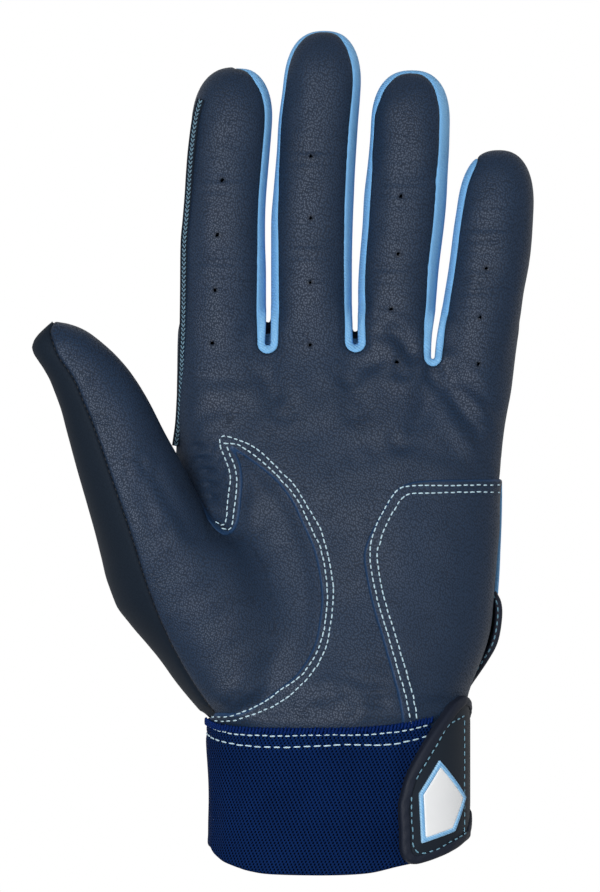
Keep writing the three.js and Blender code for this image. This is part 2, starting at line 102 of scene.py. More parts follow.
def across(pixel: Any) -> Array:
    """The X in millimetres of a pixel's column."""
    return (np.asarray(pixel, float) - PHOTO_ORIGIN[0]) * PIXEL


def along(pixel: Any) -> Array:
    """The Y in millimetres of a pixel's row."""
    return (PHOTO_ORIGIN[1] - np.asarray(pixel, float)) * PIXEL


def ease(values: Array, start: float, end: float) -> Array:
    """A smooth step: 0 before start, 1 after end, and 3t^2 - 2t^3 between."""
    t = np.clip((values - start) / (end - start), 0, 1)
    return t * t * (3 - 2 * t)


def through(knots: Array, values: Array, places: Array) -> Array:
    """A monotone cubic through knots: no overshoot between neighbouring values.

    Args:
        knots: rising places of the known values.
        values: one row of values for each knot.
        places: where the values are wanted.
    Returns:
        One row of values for each place.
    """
    h = np.diff(knots)
    slope = np.diff(values, axis=0) / h[:, None]
    first = (2 * h[1:] + h[:-1])[:, None]
    second = (h[1:] + 2 * h[:-1])[:, None]
    same = slope[:-1] * slope[1:] > 0
    safe = np.where(same, slope[:-1], 1), np.where(same, slope[1:], 1)
    inner = np.where(same, (first + second) / (first / safe[0] + second / safe[1]), 0)
    tangent = np.vstack([slope[:1], inner, slope[-1:]])
    k = np.clip(np.searchsorted(knots, places) - 1, 0, len(h) - 1)
    t = np.clip((places - knots[k]) / h[k], 0, 1)[:, None]
    h00, h10 = 2 * t**3 - 3 * t**2 + 1, t**3 - 2 * t**2 + t
    h01, h11 = 3 * t**2 - 2 * t**3, t**3 - t**2
    run = h[k][:, None]
    before = h00 * values[k] + h10 * run * tangent[k]
    return before + h01 * values[k + 1] + h11 * run * tangent[k + 1]


def curve(points: Any, step: float = 0.6) -> Array:
    """A smooth curve through points, whose run at each is that of its neighbours, in even steps.

    Args:
        points: rows of two or three coordinates, in millimetres.
        step: the distance between the returned points.
    Returns:
        Rows of coordinates along the curve.
    """
    p = np.asarray(points, float)
    p = np.vstack([2 * p[0] - p[1], p, 2 * p[-1] - p[-2]])
    t = np.linspace(0, 1, 12, endpoint=False)[:, None, None]
    a, b, c, d = p[:-3], p[1:-2], p[2:-1], p[3:]
    square, cube = 2 * a - 5 * b + 4 * c - d, 3 * b - a - 3 * c + d
    rows = 0.5 * (2 * b + (c - a) * t + square * t**2 + cube * t**3)
    dense = np.vstack([rows.transpose(1, 0, 2).reshape(-1, p.shape[1]), p[-2:-1]])
    return evenly(dense, step)


def evenly(points: Array, step: float) -> Array:
    """A polyline resampled to even steps along its length."""
    run = np.concatenate([[0], np.cumsum(np.linalg.norm(np.diff(points, axis=0), axis=1))])
    places = np.linspace(0, run[-1], max(int(round(run[-1] / step)), 1) + 1)
    return np.stack([np.interp(places, run, points[:, i]) for i in range(points.shape[1])], 1)


def unit(rows: Array) -> Array:
    """Rows scaled to a length of 1."""
    return rows / np.linalg.norm(rows, axis=1)[:, None]


def lifted(xy: Array, height: float) -> Array:
    """Rows of (x, y) as rows in space, all at one height."""
    return np.column_stack([xy, np.full(len(xy), height)])


def sampled(line: Array, count: int) -> Array:
    """A line at a number of even shares of its points."""
    places, knots = np.linspace(0, 1, count), np.linspace(0, 1, len(line))
    return np.column_stack([np.interp(places, knots, row) for row in line.T])


def grid_faces(rows: int, columns: int) -> Array:
    """Two triangles for each cell of a grid of points, counted along its columns."""
    i, j = np.meshgrid(np.arange(rows - 1), np.arange(columns - 1), indexing="ij")
    a = (i * columns + j).ravel()
    b, c, d = a + columns, a + columns + 1, a + 1
    return np.concatenate([np.stack([a, b, c], 1), np.stack([a, c, d], 1)])


def reach_to(line: Array, xy: Array) -> Array:
    """The distance from each point of xy to a polyline: the least of its sides' distances."""
    a, b = line[:-1], line[1:]
    side = b - a
    length2 = np.maximum((side**2).sum(1), 1e-12)
    best = np.full(len(xy), np.inf)
    for start, vector, squared in zip(a, side, length2):
        t = np.clip(((xy - start) @ vector) / squared, 0, 1)
        gap = xy - start - t[:, None] * vector
        best = np.minimum(best, (gap**2).sum(1))
    return np.sqrt(best)


def signed_reach(outline: Array, xy: Array) -> Array:
    """The distance from a closed outline: negative inside it, by counting the sides crossed."""
    ring = np.vstack([outline, outline[:1]])
    inside = np.zeros(len(xy), bool)
    x, y = xy[:, 0], xy[:, 1]
    for (ax, ay), (bx, by) in zip(ring[:-1], ring[1:]):
        if ay == by:
            continue
        crosses = ((ay > y) != (by > y)) & (x < (bx - ax) * (y - ay) / (by - ay) + ax)
        inside ^= crosses
    return np.where(inside, -1, 1) * reach_to(ring, xy)


def blend_least(a: Array, b: Array, room: Any) -> Array:
    """The lesser of two fields, rounded where they lie within a room of each other."""
    h = np.maximum(room - np.abs(a - b), 0) / room
    return np.minimum(a, b) - h * h * room / 4


def blend_most(a: Array, b: Array, room: Any) -> Array:
    """The greater of two fields, rounded where they lie within a room of each other."""
    return -blend_least(-a, -b, room)


TABLE_STEP = 0.2  # the step of a limb's table of sections
END_RUN = 10  # how many rows of that table give the slope at its ends


@dataclass(frozen=True)
class Limb:
    """A filled-out part of the hand: superellipse sections along a line of stations.

    Attributes:
        stations: rows of (along, left, right, low, high) in millimetres, rising.
        squareness: the exponent of the sections, 2 for an ellipse.
        dome: where the end's dome starts, its length and its exponent.
        origin: the frame's origin in XY.
        lean: the frame's turn about Z, in degrees.
        even: over what length the traced outline is evened out, in millimetres.
        tilt: how far the sections fall to the right, per millimetre.
    """

    stations: Array
    squareness: float
    dome: tuple[float, float, float]
    origin: tuple[float, float] = (0.0, 0.0)
    lean: float = 0.0
    even: float = 0.0
    tilt: float = 0.0

    @cached_property
    def table(self) -> tuple[Array, Array]:
        """The stations at small even steps, evened out by a bell of the limb's own width."""
        knots = self.stations[:, 0]
        places = np.arange(knots[0], knots[-1] + TABLE_STEP, TABLE_STEP)
        rows = through(knots, self.stations[:, 1:], places)
        if self.even:
            reach = int(3 * self.even / TABLE_STEP)
            bell = np.exp(-((np.arange(-reach, reach + 1) * TABLE_STEP / self.even) ** 2))
            bell /= bell.sum()
            steps = np.arange(1, reach + 1)[:, None]
            before = rows[0] + (rows[0] - rows[END_RUN]) / END_RUN * steps[::-1]
            after = rows[-1] + (rows[-1] - rows[-1 - END_RUN]) / END_RUN * steps
            longer = np.vstack([before, rows, after])
            rows = np.stack([np.convolve(longer[:, i], bell, "valid") for i in range(4)], 1)
        return places, rows

    def sections(self, y: Array) -> list[Array]:
        """Left, right, low and high of the sections at places along the limb, without its dome."""
        places, rows = self.table
        return [np.interp(y, places, rows[:, i]) for i in range(4)]

    def local(self, x: Array, y: Array) -> tuple[Array, Array]:
        """A point in the limb's own frame: across it and along it."""
        angle = math.radians(self.lean)
        dx, dy = x - self.origin[0], y - self.origin[1]
        return (
            dx * math.cos(angle) + dy * math.sin(angle),
            dy * math.cos(angle) - dx * math.sin(angle),
        )

    def width_share(self, y: Array) -> Array:
        """How wide the dome still is at a place along it: (1 - u^m)^(1/m)."""
        start, length, m = self.dome
        u = np.clip((y - start) / length, 0, 1)
        return (1 - u**m) ** (1 / m)

    def reach(self, x: Array, y: Array, z: Array) -> Array:
        """The distance outside the limb, along a ray from its section's centre.

        In words: with q the offset from the centre line and s the superellipse norm of q in
        units of the half sizes, the surface lies at |q| / s, so the reach is |q| - |q| / s.
        """
        lx, ly = self.local(x, y)
        left, right, low, high = self.sections(ly)
        start, length, m = self.dome
        beyond = np.maximum(ly - start, 0)
        dx = lx - (left + right) / 2
        dz = z - (low + high) / 2 + self.tilt * dx
        n = self.squareness
        wide, tall = np.abs(dx / ((right - left) / 2)), np.abs(dz / ((high - low) / 2))
        flat = (wide**n + tall**n) ** (1 / n)
        s = (flat**m + (beyond / length) ** m) ** (1 / m)
        q = np.sqrt(dx**2 + dz**2 + beyond**2)
        before = np.maximum(self.stations[0, 0] - ly, 0)
        return q - q / np.maximum(s, 1e-3) + before


SNAP = 0.02  # a vertex nearer than this to a cut lies on it


@dataclass
class Skin:
    """A triangle surface that can be cut along the zero line of any field, and offset."""

    points: Array
    faces: Array
    settle: Callable[[Array], tuple[Array, Array]]
    normals: Array = field(default_factory=lambda: np.zeros((0, 3)))
    marks: dict[str, Array] = field(default_factory=dict)

    def __post_init__(self) -> None:
        """Works out the normals where none are given."""
        if len(self.normals) != len(self.points):
            self.normals = self.settle(self.points)[1]

    def split(self, measure: Measure, level: float = 0.0) -> "Skin":
        """Cuts every triangle that a level of a field crosses, so that the level runs along edges.

        Args:
            measure: the field, worked out on rows of points.
            level: the value to cut at.
        Returns:
            The same surface with more triangles.
        """
        s = measure(self.points) - level
        s[np.abs(s) < SNAP] = 0
        sign = np.sign(s)[self.faces]
        mixed = (sign.max(1) > 0) & (sign.min(1) < 0)
        if not mixed.any():
            return self
        cut, cut_sign = self.faces[mixed], sign[mixed]
        crossing = cut_sign * np.roll(cut_sign, -1, 1) < 0
        pairs = np.stack([cut, np.roll(cut, -1, 1)], -1)
        keys, inverse = np.unique(np.sort(pairs[crossing], 1), axis=0, return_inverse=True)
        a, b = keys.T
        share = (s[a] / (s[a] - s[b]))[:, None]
        raw = self.points[a] + (self.points[b] - self.points[a]) * share
        new_points, new_normals = self.settle(raw)
        made = np.full(cut.shape, -1)
        made[crossing] = inverse.ravel() + len(self.points)
        twice = crossing.sum(1) == 2
        lone = np.argmax(crossing & np.roll(crossing, 1, 1), 1)
        first = np.where(twice, lone, np.argmax(crossing, 1))
        order = (first[:, None] + np.arange(3)) % 3
        v = np.take_along_axis(cut, order, 1)
        e = np.take_along_axis(made, order, 1)
        v2, e2, v1, e1 = v[twice], e[twice], v[~twice], e[~twice]
        pieces = [
            self.faces[~mixed],
            np.stack([v2[:, 0], e2[:, 0], e2[:, 2]], 1),
            np.stack([e2[:, 0], v2[:, 1], v2[:, 2]], 1),
            np.stack([e2[:, 0], v2[:, 2], e2[:, 2]], 1),
            np.stack([v1[:, 0], e1[:, 0], v1[:, 2]], 1),
            np.stack([e1[:, 0], v1[:, 1], v1[:, 2]], 1),
        ]
        marks = {
            name: np.concatenate([row, row[a] + (row[b] - row[a]) * share[:, 0]])
            for name, row in self.marks.items()
        }
        return Skin(
            np.vstack([self.points, new_points]),
            np.vstack(pieces),
            self.settle,
            np.vstack([self.normals, new_normals]),
            marks,
        )

    def pick(self, chosen: Array) -> "Skin":
        """The part of the surface that has the chosen triangles."""
        faces = self.faces[chosen]
        used, inverse = np.unique(faces, return_inverse=True)
        marks = {name: row[used] for name, row in self.marks.items()}
        return Skin(
            self.points[used], inverse.reshape(-1, 3), self.settle, self.normals[used], marks
        )

    def parted(self, measure: Measure, level: float = 0.0) -> tuple["Skin", "Skin"]:
        """Cuts at a level of a field: the part below it and the part above it."""
        whole = self.split(measure, level)
        s = measure(whole.points) - level
        s[np.abs(s) < SNAP * 1.01] = 0
        above = s[whole.faces].sum(1) > 0
        return whole.pick(~above), whole.pick(above)

    def ringed(self, measure: Measure, levels: tuple[float, ...]) -> "Skin":
        """Cuts along several levels without taking anything away, to carry a fine profile."""
        made = self
        for level in levels:
            made = made.split(measure, level)
        return made

    def raised(self, heights: Array) -> "Skin":
        """Every point moved along its normal by a height."""
        moved = self.points + self.normals * heights[:, None]
        return Skin(moved, self.faces, self.settle, self.normals, self.marks)

    def rim(self) -> Array:
        """The directed edges that only one triangle has."""
        f = self.faces
        edges = np.concatenate([f[:, [0, 1]], f[:, [1, 2]], f[:, [2, 0]]])
        count = len(self.points) + 1
        there, back = edges[:, 0] * count + edges[:, 1], edges[:, 1] * count + edges[:, 0]
        return edges[~np.isin(there, back)]

    def tidy(self) -> "Skin":
        """The surface without triangles that have no area."""
        a, b, c = (self.points[self.faces[:, i]] for i in range(3))
        area = np.linalg.norm(np.cross(b - a, c - a), axis=1)
        return self.pick(area > 1e-7)

    def closed(self, under: Array) -> tuple[Array, Array, dict[str, Array], Array]:
        """A solid between the surface and a lower place for each of its points.

        Args:
            under: the lower places.
        Returns:
            The points, the triangles, the marks and the point pairs of the crisp edges.
        """
        count, rim = len(self.points), self.rim()
        a, b = rim[:, 0], rim[:, 1]
        sides = np.stack([b, a, a + count], 1), np.stack([b, a + count, b + count], 1)
        faces = np.concatenate([self.faces, self.faces[:, ::-1] + count, *sides])
        marks = {key: np.concatenate([row, row]) for key, row in self.marks.items()}
        return np.vstack([self.points, under]), faces, marks, np.concatenate([rim, rim + count])


def surface_net(field_of: Callable[[Array, Array, Array], Array], low: Array, high: Array,
                cell: float) -> tuple[Array, Array]:
    """The zero surface of a field as a net with one vertex in each grid cell that it crosses.

    Each vertex is the mean of the crossings on its cell's edges, and each crossed grid edge
    makes two triangles from the four cells round it.

    Args:
        field_of: the field, negative inside.
        low: the grid's lowest corner.
        high: the grid's highest corner.
        cell: the grid's step.
    Returns:
        The points and the triangles, which face outwards.
    """
    axes = [np.arange(a, b + cell, cell) for a, b in zip(low, high)]
    x, y, z = np.meshgrid(*axes, indexing="ij", sparse=True)
    values = field_of(x, y, z)
    inside = values < 0
    shape = np.array(values.shape)
    cells = shape - 1
    weights: list[Array] = []
    owners: list[Array] = []
    quads: list[Array] = []
    for axis in range(3):
        unit = np.eye(3, dtype=int)[axis]
        u, v = np.eye(3, dtype=int)[(axis + 1) % 3], np.eye(3, dtype=int)[(axis + 2) % 3]
        a = inside.take(range(shape[axis] - 1), axis)
        b = inside.take(range(1, shape[axis]), axis)
        edge = np.argwhere(a != b)
        edge = edge[((edge - u - v) >= 0).all(1) & (edge < cells).all(1)]
        f0 = values[tuple(edge.T)]
        f1 = values[tuple((edge + unit).T)]
        crossing = edge + (f0 / (f0 - f1))[:, None] * unit
        ring = [edge - u - v, edge - v, edge, edge - u]
        ids = np.stack([np.ravel_multi_index(tuple(c.T), tuple(cells)) for c in ring], 1)
        quads.append(np.where((f0 < 0)[:, None], ids, ids[:, ::-1]))
        owners.append(ids.ravel())
        weights.append(np.repeat(crossing, 4, axis=0))
    used, slot = np.unique(np.concatenate(owners), return_inverse=True)
    where = np.concatenate(weights)
    count = np.bincount(slot)
    points = np.stack([np.bincount(slot, where[:, i]) / count for i in range(3)], 1)
    quad = np.searchsorted(used, np.concatenate(quads))
    faces = np.concatenate([quad[:, [0, 1, 2]], quad[:, [0, 2, 3]]])
    return points * cell + np.asarray(low), faces


def rows_of(edges: Any, heights: Any) -> Array:
    """Stations from an outline and a table of heights.

    Args:
        edges: rows of (row, left, right) in pixels of the photograph, from the wrist upwards.
        heights: rows of (row in pixels, lowest, highest in millimetres), from the wrist upwards.
    Returns:
        Rows of (along, left, right, low, high) in millimetres.
    """
    outline, levels = np.asarray(edges, float), np.asarray(heights, float)
    y = along(outline[:, 0])
    z = through(along(levels[:, 0]), levels[:, 1:], y)
    return np.column_stack([y, across(outline[:, 1]), across(outline[:, 2]), z])


class Side(Enum):
    """A side of a finger as the palm view shows it."""

    LEFT = 0
    RIGHT = 1


@dataclass(frozen=True)
class Finger:
    """A finger as the photograph outlines it.

    Attributes:
        name: its plain name.
        tip: the pixel row of its tip.
        dome: how many pixels its rounded end takes.
        edges: rows of (row, left, right) in pixels, from inside the palm to the end.
        root: the pixel row of its root.
        joints: pixel rows of the creases that its two joints make.
        left: rows of (row, width) in pixels of the light-blue band inside its left outline.
        right: the same inside its right outline.
    """

    name: str
    tip: float
    dome: float
    edges: tuple[tuple[float, float, float], ...]
    root: float
    joints: tuple[float, float]
    left: tuple[tuple[float, float], ...] = ()
    right: tuple[tuple[float, float], ...] = ()

    def band(self, y: Array, side: Side) -> Array:
        """How wide the light-blue band is on one side, in millimetres, along the finger."""
        rows = self.left if side is Side.LEFT else self.right
        table = np.array(rows or ((0, -9), (900, -9)), float)
        knots = -along(table[:, 0])
        places = np.clip(-np.ravel(y), knots[0], knots[-1])
        return through(knots, table[:, 1:] * PIXEL, places)[:, 0].reshape(np.shape(y))

    def outline(self, side: Side, low: float) -> Array:
        """Its outline in plan on one side, from a place along it up to the middle of its tip."""
        end = float(along(self.tip))
        share = np.linspace(0, 1, 64)
        y = low + (end - low) * (1 - (1 - share) ** 2)
        return np.column_stack([self.edge(y, side), y])

    @cached_property
    def limb(self) -> Limb:
        """The filled finger: its heights fall from the root to the tip and sink into the palm."""
        heights = (
            (self.root + 112, 3.5, 21.5), (self.root + 76, 2.0, 22.8), (self.root + 36, 0.4, 21.8),
            (self.root, 0.0, 20.6), (self.root - 80, 0.0, 20.2), (self.tip + self.dome, 0.6, 18.9),
            (self.tip, 1.6, 17.6),
        )
        start = float(along(self.tip + self.dome))
        return Limb(rows_of(self.edges, heights), 2.25, (start, self.dome * PIXEL, 2.4), even=3.2)

    def middle(self, y: Array) -> Array:
        """The X of its middle line at places along it."""
        left, right, _, _ = self.limb.sections(y)
        return (left + right) / 2

    def edge(self, y: Array, side: Side) -> Array:
        """The X of the outline at places along the finger, with its rounded end."""
        left, right, _, _ = self.limb.sections(y)
        half = (right - left) / 2 * self.limb.width_share(y)
        return (left + right) / 2 + (half if side is Side.RIGHT else -half)


FINGERS = (
    Finger("index", 66.5, 57, (
        (456, 188, 250), (420, 181.5, 258), (380, 178.5, 264), (344, 179, 265), (316, 180, 266),
        (268, 181, 266), (244, 181, 265), (220, 183, 265), (196, 185, 266), (172, 187, 268),
        (148, 189, 270), (124, 191, 272), (66, 195, 274),
    ), 344, (178, 262), (), (
        (60, -1), (66.5, 0.1), (69, 1.2), (74, 3.8), (84, 6.6), (124, 6.2), (196, 6.2), (244, 6.6),
        (268, 7.6), (316, 8.4), (344, 7.5), (900, 7),
    )),
    Finger("middle", 29.5, 57, (
        (456, 270, 345), (420, 267, 350), (380, 268, 352), (344, 270.5, 353), (316, 271, 352),
        (268, 271, 352), (220, 271, 353), (196, 273, 354), (172, 275, 355), (148, 277, 356.5),
        (124, 278, 358), (100, 281, 360), (86, 283, 361), (29, 286, 362),
    ), 344, (150, 244), (
        (20, 0.5), (29, 0.5), (34, 0.9), (42, 1.7), (56, 1.8), (100, 1.4), (150, 1.6), (172, 2.4),
        (196, 4.2), (244, 6), (292, 6.5), (344, 7), (900, 7),
    ), (
        (20, 0.5), (29, 0.5), (32, 1.0), (36, 2.6), (42, 4.6), (57, 6.8), (88, 7.2), (148, 7.8),
        (196, 7.8), (244, 7), (316, 6.5), (344, 7), (900, 7),
    )),
    Finger("ring", 69.5, 57, (
        (456, 357, 425), (420, 355, 428), (384, 358, 431), (352, 358.5, 431), (328, 357.5, 432.5),
        (316, 358.5, 435), (292, 358, 437), (268, 359, 439), (244, 361, 442), (220, 363, 445),
        (196, 364, 447), (172, 367, 448), (148, 369.5, 449.5), (126, 371, 450), (69, 372, 452),
    ), 352, (182, 268), (
        (60, 1.4), (69, 1.4), (73, 2.0), (82, 4.0), (98, 4.2), (108, 3), (118, 1.9), (150, 1.9),
        (172, 3.8), (196, 5), (244, 4.8), (292, 5.5), (316, 6.5), (352, 7.5), (900, 7),
    ), (
        (60, 1.4), (69, 1.4), (72, 2.0), (76, 3.8), (84, 6.4), (98, 8.8), (148, 9.5), (196, 10.3),
        (244, 10), (292, 9), (316, 8.5), (352, 7), (900, 7),
    )),
    Finger("little", 149.5, 60, (
        (456, 436, 488), (420, 432, 500), (390, 431, 509), (364, 434.5, 513), (340, 436.5, 516.5),
        (316, 441, 521), (292, 445, 524), (268, 449, 529), (244, 452, 532), (220, 455, 533.5),
        (210, 457, 534), (150, 462, 536),
    ), 359, (228, 292), (
        (140, -4), (153, -2.5), (160, 1.8), (168, 4.6), (182, 5.4), (220, 5), (292, 5), (316, 5.5),
        (352, 7), (900, 7),
    ), ()),
)

PALM_EDGES = (
    (748, 208, 457), (736, 207, 459), (714, 204, 463), (698, 198, 464), (680, 190, 470),
    (665, 185, 476), (640, 179, 485), (620, 176, 489), (593, 174, 491), (572, 173, 493),
    (548, 172, 495), (524, 172, 497), (500, 173, 497), (480, 174, 499.5), (464, 175, 501),
    (440, 178, 502), (416, 181, 503), (392, 184, 505), (368, 186, 506), (344, 186, 508),
    (316, 188, 510),
)
PALM_HEIGHTS = (
    (748, 2.6, 40.0), (728, 2.0, 40.6), (714, 1.0, 41.4), (698, 0.0, 41.4), (665, 0.0, 39.8),
    (620, 0.0, 36.9), (558, 0.0, 33.9), (484, 0.0, 30.2), (429, 0.0, 26.2), (381, 0.0, 22.6),
    (344, 0.0, 19.6), (316, 0.0, 18.4),
)
PALM_DOME = (334.0, 34.0, 2.2)

# The thumb in its own frame, in millimetres: along, left, right, low, high.
THUMB_ORIGIN = (135.1, 484.8)
THUMB_LEAN = 21.6
THUMB_ROWS = (
    (-78, 3.0, 14, 8, 36), (-70, -2.0, 16, 6, 38.5), (-61.4, -6.8, 20.5, 3.0, 41.0),
    (-49.5, -10.3, 25, 0.5, 42.2), (-41.5, -12.9, 26.4, 0.5, 42.8), (-34.6, -15.25, 26, 1.0, 43.4),
    (-28, -16.85, 24, 2.0, 44.0), (-21.7, -16.7, 19.2, 4.0, 44.6), (-15, -15.8, 15.8, 7.0, 45.2),
    (-8, -14.87, 14.8, 10.8, 45.6), (0, -14.02, 14.1, 15.2, 45.6), (10, -13.03, 12.8, 18.9, 45.1),
    (20, -11.88, 11.85, 21.2, 44.4), (28, -11.03, 10.4, 22.5, 43.4), (34, -10.95, 8.45, 23.4, 42.5),
    (38.3, -11.42, 6.44, 24.0, 41.9), (41, -12.0, 4.94, 24.5, 41.4),
    (43.4, -12.42, 3.39, 25.2, 40.9),
    (44.8, -12.3, 2.2, 25.9, 40.4), (45.8, -11.7, 1.2, 26.6, 39.9), (46.8, -10.7, 0.0, 27.5, 39.3),
    (47.7, -9.2, -1.2, 28.7, 38.5), (48.4, -7.6, -2.4, 30.0, 37.6), (49.0, -6.0, -3.4, 31.4, 36.6),
    (49.45, -4.7, -4.2, 33.0, 35.2),
)
THUMB_DOME = (49.45, 0.3, 2.3)
THUMB_TILT = 0.07  # how far its front falls towards the palm, per millimetre

# Each gap between two fingers: the pixel row where its bottom's circle has its centre.
GAP_CENTRES = (343.0, 342.0, 357.0)
# How far the back leather's web reaches up behind each of those bottoms, in millimetres.
BACK_WEBS = (6.4, 3.6, 0.0)
BAND_ROOM = 17.0  # how far from a gap's middle its light-blue bands can reach
ROOT_LINE = ((-200, 343.5), (268, 343.5), (357, 342.5), (436, 357.5), (800, 357.5))

SEAM_DROP = 0.6  # how far a panel's edge dips to meet its neighbour
EDGE_ROUND = 0.85  # how wide the rounding of a cut leather edge is
BACK_SEAM = 5.5  # the height of the seam between the back and the front
SEAM_CLIMB = 5.5  # how much higher that seam lies beside the index finger
# Where along the glove it climbs and comes down again, and how far across it the climb reaches.
CLIMB_START, CLIMB_END, CLIMB_SIDE = (-12.0, -2.0), (92.0, 97.5), (-21.0, -16.0)
FLOOR_GAP = 0.3  # the height at which the back is flattened
WALL = 0.9  # the thickness of a panel
HEM = 741.0  # the pixel row down to which the leather is tucked into the cuff
WAVE_SEED, RIB_SEED = 7, 3  # of the leather's waves and of the overlocked ribs
GRID_CELL = 0.8  # the step of the grid that the leather's skin is found on

# The wrist's tube: its centre and half sizes in X and Z in millimetres, and its exponent.
WRIST_CENTRE = (13.635, 22.4)
WRIST_HALF = (34.15, 20.5)
WRIST_POWER = 2.3
CUFF_TOP = (
    (196, 713), (202, 715), (207, 718.5), (217, 723), (240, 726), (262, 727), (343, 727),
    (380, 725), (404, 722), (425, 717.5), (445, 714), (475, 712),
)
CUFF_TOP_X, CUFF_TOP_Y = zip(*CUFF_TOP)
TUCK = 1.3  # how far the leather lies inside the cuff
TUCK_CORNER = (-24.0, -21.3)  # between these X the leather's tuck drops at the thumb's side
TUCK_CORNER_DROP = 1.8
# Between these distances down the wrist, the thumb's side of the cuff is drawn in by a share.
TAPER, TAPER_SPAN = 0.02, (78.0, 98.0)
# The palm beside the thumb sinks along this line of pixels, in millimetres.
THUMB_VALLEY = ((182, 452), (220, 528))
VALLEY_DEPTH, VALLEY_WIDTH = 4.2, 7.0
# The hollow of the palm: its pixel, its half sizes and its depth in millimetres.
HOLLOW, HOLLOW_SIZE, HOLLOW_DEPTH = (352, 540), (17, 26), 1.3
# Over how many millimetres the hand's parts are joined smoothly.
GAP_ROOM, FINGER_ROOM, THUMB_ROOM, CUFF_ROOM, FLOOR_ROOM = 2.6, 5.0, 7.5, 1.6, 1.8


@dataclass(frozen=True)
class Fold:
    """A crease pressed into the leather: a valley along a curve, fading at its ends."""

    places: tuple[tuple[float, float], ...]
    depth: float
    width: float

    def depth_at(self, xy: Array) -> Array:
        """The valley's depth: depth * exp(-(d/width)^2), with low shoulders beside it."""
        line = curve(at(self.places), 1.5)
        d = reach_to(line, xy)
        ends = np.minimum(
            np.linalg.norm(xy - line[0], axis=1), np.linalg.norm(xy - line[-1], axis=1)
        )
        fade = ease(ends, 0.0, 5.0)
        valley = np.exp(-((d / self.width) ** 2))
        shoulder = 0.35 * np.exp(-(((d - 1.9 * self.width) / self.width) ** 2))
        return self.depth * fade * (valley - shoulder)


FOLDS = (
    Fold(((378, 325), (392, 330), (403, 339), (408, 352), (405, 368)), 0.95, 2.3),
    Fold(((368, 304), (386, 306), (404, 313), (418, 324)), 0.45, 2.0),
    Fold(((350, 376), (364, 367), (380, 363), (392, 368)), 0.4, 2.0),
    Fold(((438, 374), (449, 389), (461, 407), (475, 425), (488, 440)), 1.05, 2.5),
    Fold(((452, 371), (470, 387), (488, 401), (502, 409)), 0.65, 2.0),
    Fold(((430, 384), (429, 400), (419, 420), (402, 437)), 0.7, 2.8),
    Fold(((262, 364), (270, 384), (284, 408)), 0.6, 2.8),
    Fold(((340, 366), (352, 388), (356, 410)), 0.45, 2.6),
    Fold(((190, 372), (214, 378), (240, 374)), 0.35, 2.2),
    Fold(((186, 418), (206, 412), (232, 404)), 0.3, 2.2),
    Fold(((360, 454), (400, 446), (444, 448)), 0.35, 2.8),
    Fold(((184, 452), (196, 448), (210, 446)), 1.3, 1.1),
    Fold(((188, 464), (201, 459), (216, 458)), 1.2, 1.0),
    Fold(((192, 474), (206, 471), (220, 471)), 1.3, 1.1),
    Fold(((196, 485), (210, 484), (222, 485)), 1.1, 1.0),
    Fold(((200, 495), (211, 497), (222, 500)), 1.0, 1.0),
    Fold(((150, 460), (160, 482), (176, 506), (196, 528)), 0.8, 2.6),
    Fold(((136, 470), (146, 500), (160, 528)), 0.5, 2.4),
    Fold(((236, 702), (262, 707), (300, 709), (350, 708)), 0.6, 2.0),
    Fold(((250, 690), (286, 697), (322, 696)), 0.35, 1.8),
    Fold(((330, 694), (372, 700), (398, 702)), 0.5, 1.7),
    Fold(((346, 682), (376, 684), (396, 680)), 0.3, 1.6),
    Fold(((404, 700), (430, 704), (452, 700)), 0.35, 1.7),
)


# Across each finger joint: how far from it each crease lies, its depth and its width.
JOINT_CREASES = (
    (0.0, 0.5, 1.3), (-3.4, 0.3, 1.0), (2.9, 0.28, 0.9), (-6.4, 0.16, 0.9), (5.8, 0.16, 0.8),
)


